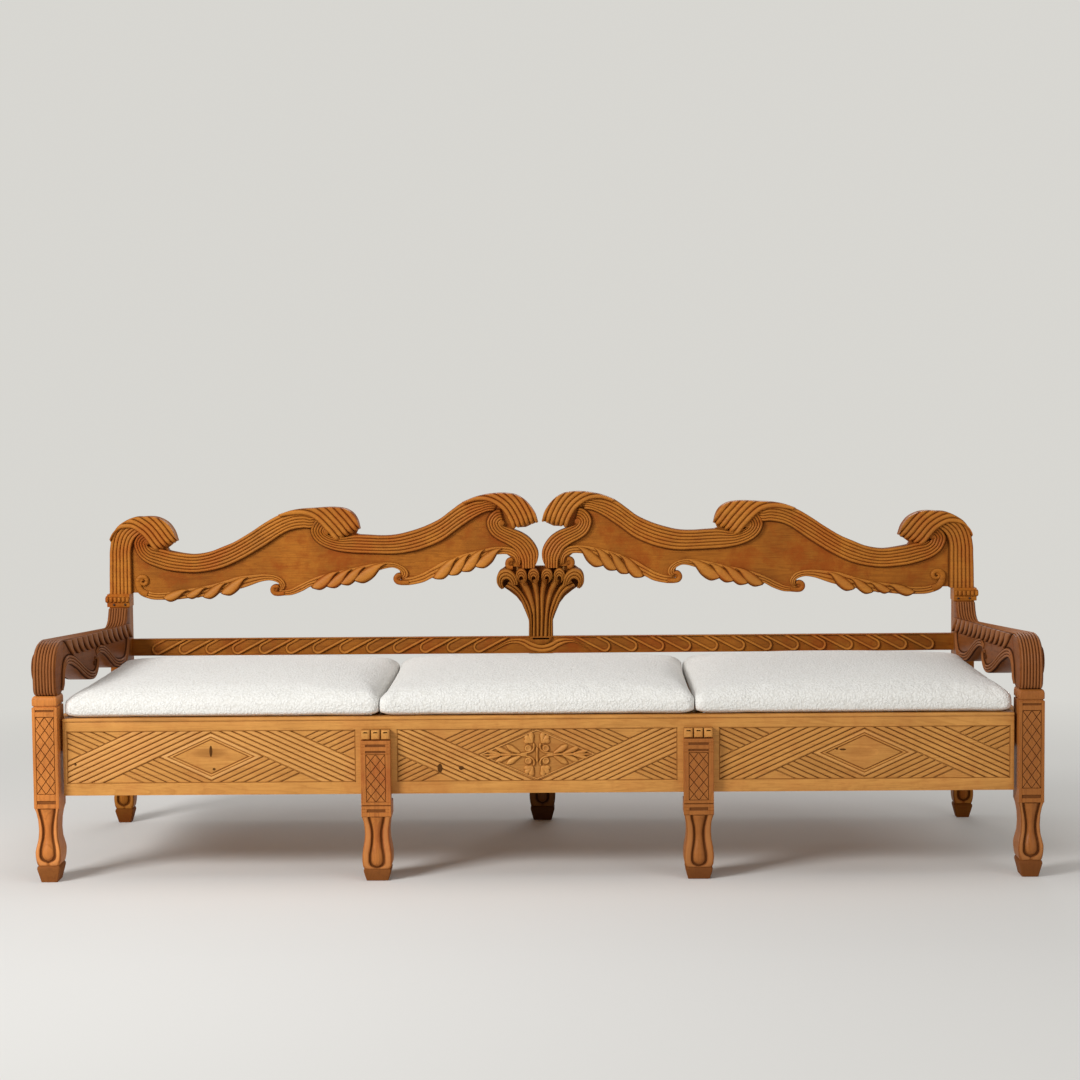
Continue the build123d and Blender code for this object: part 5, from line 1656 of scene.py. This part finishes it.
def shape_cushion(mesh, middle, half, floor, crown, seed):
    """Crowns the top of a cushion and pulls its sides in between the corners."""
    points = read_points(mesh) / MM
    a, b = ((points[:, axis] - middle[axis]) / half[axis] for axis in (0, 1))
    share = np.clip((points[:, 2] - floor) / 50.0, 0, 1)
    dome = (1 - np.abs(a) ** 3.0) * (1 - np.abs(b) ** 2.6)
    tilt = 1.0 + 0.10 * (-b)
    rng = np.random.default_rng(seed)
    waves = np.zeros(len(points))
    for _ in range(6):
        kx, ky = rng.uniform(1.5, 5.0, 2) * rng.choice([-1, 1], 2)
        waves += rng.uniform(0.5, 1.1) * np.sin(kx * a + ky * b + rng.uniform(0, 6.28))
    points[:, 2] += share ** 2 * ((crown - 58) * dome * tilt + 0.8 * waves * dome)
    pull = 4.0 * share * (1 - share) * 4
    for axis, along, across in ((0, a, b), (1, b, a)):
        points[:, axis] -= np.sign(along) * pull * np.abs(along) ** 8 * (1 - across ** 2)
    write_points(mesh, points * MM)


def swell_cloth(piece, size):
    """Blows a cushion up as cloth, holds every point within the cap, and keeps the result."""
    before = read_points(piece.data)
    cloth = piece.modifiers.new("Cloth", "CLOTH")
    cloth.settings.use_pressure = True
    cloth.settings.uniform_pressure_force = size.cushion_pressure
    cloth.settings.quality = 4
    cloth.settings.mass = 0.3
    cloth.settings.effector_weights.gravity = 0.0
    cloth.collision_settings.use_collision = False
    cloth.point_cache.frame_start = 1
    cloth.point_cache.frame_end = CLOTH_FRAMES
    scene = bpy.context.scene
    for moment in range(1, CLOTH_FRAMES + 1):
        scene.frame_set(moment)
        bpy.context.view_layer.update()
    after = read_points(piece.evaluated_get(bpy.context.evaluated_depsgraph_get()).data)
    piece.modifiers.remove(cloth)
    moved = after - before
    length = np.maximum(np.linalg.norm(moved, axis=1, keepdims=True), TINY)
    write_points(piece.data, before + moved * np.minimum(1.0, size.cushion_swell / length))
    scene.frame_set(1)


def settle_cushion(mesh, low, high):
    """Fits a cushion to its own space: pressed flat against its neighbours and on the slats."""
    points = read_points(mesh) / MM
    for axis, press in ((0, 1.012), (1, 1.006)):
        middle, reach = (low[axis] + high[axis]) / 2, (high[axis] - low[axis]) / 2
        share = (points[:, axis] - points[:, axis].min()) / np.ptp(points[:, axis])
        points[:, axis] = np.clip(middle + (2 * share - 1) * reach * press, low[axis] + 0.4, high[axis] - 0.4)
    points[:, 2] = low[2] + (points[:, 2] - low[2]) * (high[2] - low[2] - 1) / (points[:, 2].max() - low[2])
    points[:, 2] = np.maximum(points[:, 2], low[2] + 0.4)
    write_points(mesh, points * MM)


# ------------------------------------------------------------------ stage
CAMERA_AT = (0.10119, -5.82376, 1.20198)
CAMERA_TURN = (0.0164, 0.0716, -0.0093)        # yaw, downward pitch and roll, in radians
SENSOR, LENS = 36.0, 77.08
LAMPS = (     # name, where it hangs, where it looks, its two sizes in metres and its watts
    ("Key", (-3.4, -3.4, 2.7), (-0.2, 0.0, 0.4), 1.6, 1.4, 200),
    ("Fill", (3.2, -3.6, 1.8), (0.2, 0.0, 0.4), 2.4, 2.2, 26),
    ("Top", (-0.2, -0.2, 3.6), (0.0, -0.1, 0.4), 3.0, 1.8, 30),
    ("Behind", (0.6, 4.0, 2.4), (0.0, 0.0, 0.5), 2.6, 1.6, 34),
)
FLOOR_AT = -0.0006


def make_camera():
    """The camera, level with a standing viewer's chest, a little right of the middle."""
    yaw, pitch, roll = CAMERA_TURN
    ahead = Vector((-math.sin(yaw) * math.cos(pitch), math.cos(yaw) * math.cos(pitch), -math.sin(pitch)))
    aside = ahead.cross(Vector((0, 0, 1))).normalized()
    up = aside.cross(ahead)
    right = aside * math.cos(roll) + up * math.sin(roll)
    top = up * math.cos(roll) - aside * math.sin(roll)
    data = bpy.data.cameras.new("Camera")
    data.sensor_width, data.lens = SENSOR, LENS
    camera = put("Camera", data)
    rows = [(right[k], top[k], -ahead[k], CAMERA_AT[k]) for k in range(3)] + [(0, 0, 0, 1)]
    camera.matrix_world = Matrix(rows)
    bpy.context.scene.camera = camera


def make_lamp(name, spot, towards, width, height, watts):
    """A soft box lamp."""
    data = bpy.data.lights.new(name, "AREA")
    data.shape, data.size, data.size_y, data.energy = "RECTANGLE", width, height, watts
    lamp = put(name, data)
    lamp.location = spot
    lamp.rotation_euler = (Vector(towards) - Vector(spot)).to_track_quat("-Z", "Y").to_euler()


def make_world(tone):
    """World light, and the pale background that the camera sees."""
    world = bpy.data.worlds.new("Studio")
    bpy.context.scene.world = world
    world.use_nodes = True
    kit = Nodes(world.node_tree)
    seen = kit.node("ShaderNodeLightPath").outputs
    seen = kit.maths("MAXIMUM", seen["Is Camera Ray"], seen["Is Glossy Ray"])
    strength = kit.node("ShaderNodeMapRange", {"Value": seen}, **{"To Min": 0.25, "To Max": 1.0})
    background = kit.nodes["Background"].inputs
    kit.links.new(kit.mix(seen, (1.0, 0.985, 0.96), tone), background["Color"])
    kit.links.new(strength.outputs["Result"], background["Strength"])


def make_floor(tone, floor_tone):
    """The floor that keeps the shadow and fades into the background."""
    floor = bmesh.new()
    bmesh.ops.create_circle(floor, cap_ends=True, segments=96, radius=30.0)
    mesh = bpy.data.meshes.new("Floor")
    floor.to_mesh(mesh)
    floor.free()
    for vertex in mesh.vertices:
        vertex.co.z = FLOOR_AT
    piece = put("Floor", mesh)
    shader = Shader("floor_paper")
    shader.give(Base_Color=(*floor_tone, 1), Roughness=0.95, Specular_IOR_Level=0.1)
    far = shader.node("ShaderNodeVectorMath", {0: shader.place()}, operation="LENGTH").outputs["Value"]
    fade = shader.ramp(shader.maths("MULTIPLY", far, 0.1), (0.08, 0.0), (0.32, 1.0))
    glow = shader.node("ShaderNodeEmission", Color=(*tone, 1))
    blend = shader.node("ShaderNodeMixShader", {"Fac": fade, 1: shader.surface.outputs[0],
                                                2: glow.outputs["Emission"]})
    shader.links.new(blend.outputs[0], shader.nodes["Material Output"].inputs["Surface"])
    mesh.materials.append(shader.material)


def make_stage():
    """Camera, lamps, backdrop and view settings."""
    make_camera()
    for lamp in LAMPS:
        make_lamp(*lamp)
    tones = bpy.context.scene.bench_colours
    make_world(tuple(tones.backdrop))
    make_floor(tuple(tones.backdrop), tuple(tones.floor))
    bpy.context.scene.view_settings.view_transform = "Standard"


# ------------------------------------------------------------------ add-on parts
def operator(idname, label, words, action):
    """An operator that makes one piece or group of like pieces."""
    def execute(self, context):
        """Makes the piece."""
        action()
        return {"FINISHED"}

    name = "BENCH_OT_" + idname
    return type(name, (bpy.types.Operator,), {
        "__doc__": words, "bl_idname": "bench." + idname, "bl_label": label,
        "bl_options": {"REGISTER", "UNDO"}, "execute": execute})


def both(make):
    """Makes the left one, then the right one."""
    def action():
        """Makes the pair."""
        for side in (-1, 1):
            make(side)
    return action


def make_all_slats():
    """Makes the slats that stay and the slats that travel."""
    make_slats("fixed_slats", FIXED)
    make_slats("pull_out_slats", PULLED)


def make_all_nails():
    """Makes every nail head."""
    make_nails("capital_nails", FIXED, True)
    make_nails("fixed_slat_nails", FIXED, False)
    make_nails("pull_out_slat_nails", PULLED, False)


def make_all_cushions():
    """Makes the three loose cushions."""
    for number, place in enumerate(("left", "centre", "right")):
        make_cushion("cushion_" + place, place + "_cushion", "cushion_" + place + "_wool", 11 + number)


PIECES = (
    operator("stage", "Stage", "Camera, lamps, floor and background", make_stage),
    operator("crest", "Crest", "The two carved halves of the crest", both(make_crest)),
    operator("splat", "Splat", "The fluted splat with its curled heads", make_splat),
    operator("mid_rail", "Back rail", "The strapwork rail across the back", make_mid_rail),
    operator("capitals", "Capitals", "The beaded blocks under the crest", both(make_capital)),
    operator("rear_posts", "Rear posts", "The posts that carry the back", both(make_rear_post)),
    operator("centre_leg", "Centre leg", "The leg under the middle of the back", make_centre_leg),
    operator("arms", "Arms", "The two carved arms", both(make_arm)),
    operator("front_posts", "Front posts", "The front posts with their club legs", both(make_front_post)),
    operator("mid_legs", "Mid legs", "The legs that travel with the seat front", both(make_mid_leg)),
    operator("seat_front", "Seat front", "The carved plank and its edge strip", make_seat_front),
    operator("slats", "Slats", "The fixed and the travelling slats", make_all_slats),
    operator("nails", "Nails", "Forged nail heads", make_all_nails),
    operator("plain_boards", "Plain boards", "Rails, bearers, ledgers and pegs", make_plain_boards),
    operator("cushions", "Cushions", "The three loose cushions", make_all_cushions),
)


class BENCH_PT_pieces(bpy.types.Panel):
    """Lists the bench's pieces in the sidebar."""
    bl_idname = "BENCH_PT_pieces"
    bl_label = "Bench bed"
    bl_space_type = "VIEW_3D"
    bl_region_type = "UI"
    bl_category = "Bench"

    def draw(self, context):
        """Draws one button for each piece, then the sizes and the colours."""
        for piece in PIECES:
            self.layout.operator(piece.bl_idname)
        for group in (context.scene.bench_sizes, context.scene.bench_colours):
            box = self.layout.box()
            for key in group.bl_rna.properties.keys():
                if key not in ("rna_type", "name"):
                    box.prop(group, key)


CLASSES = (BenchSizes, BenchColours) + PIECES + (BENCH_PT_pieces,)


def register():
    """Adds the bench's classes and settings."""
    for item in CLASSES:
        bpy.utils.register_class(item)
    bpy.types.Scene.bench_sizes = bpy.props.PointerProperty(type=BenchSizes)
    bpy.types.Scene.bench_colours = bpy.props.PointerProperty(type=BenchColours)


def unregister():
    """Takes the bench's classes and settings away."""
    del bpy.types.Scene.bench_colours
    del bpy.types.Scene.bench_sizes
    for item in reversed(CLASSES):
        bpy.utils.unregister_class(item)


def main():
    """Makes every piece in order and writes the sizes before and after."""
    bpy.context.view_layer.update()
    register()
    for piece in PIECES:
        group, name = piece.bl_idname.split(".")
        getattr(getattr(bpy.ops, group), name)()


if __name__ == "__main__":
    main()
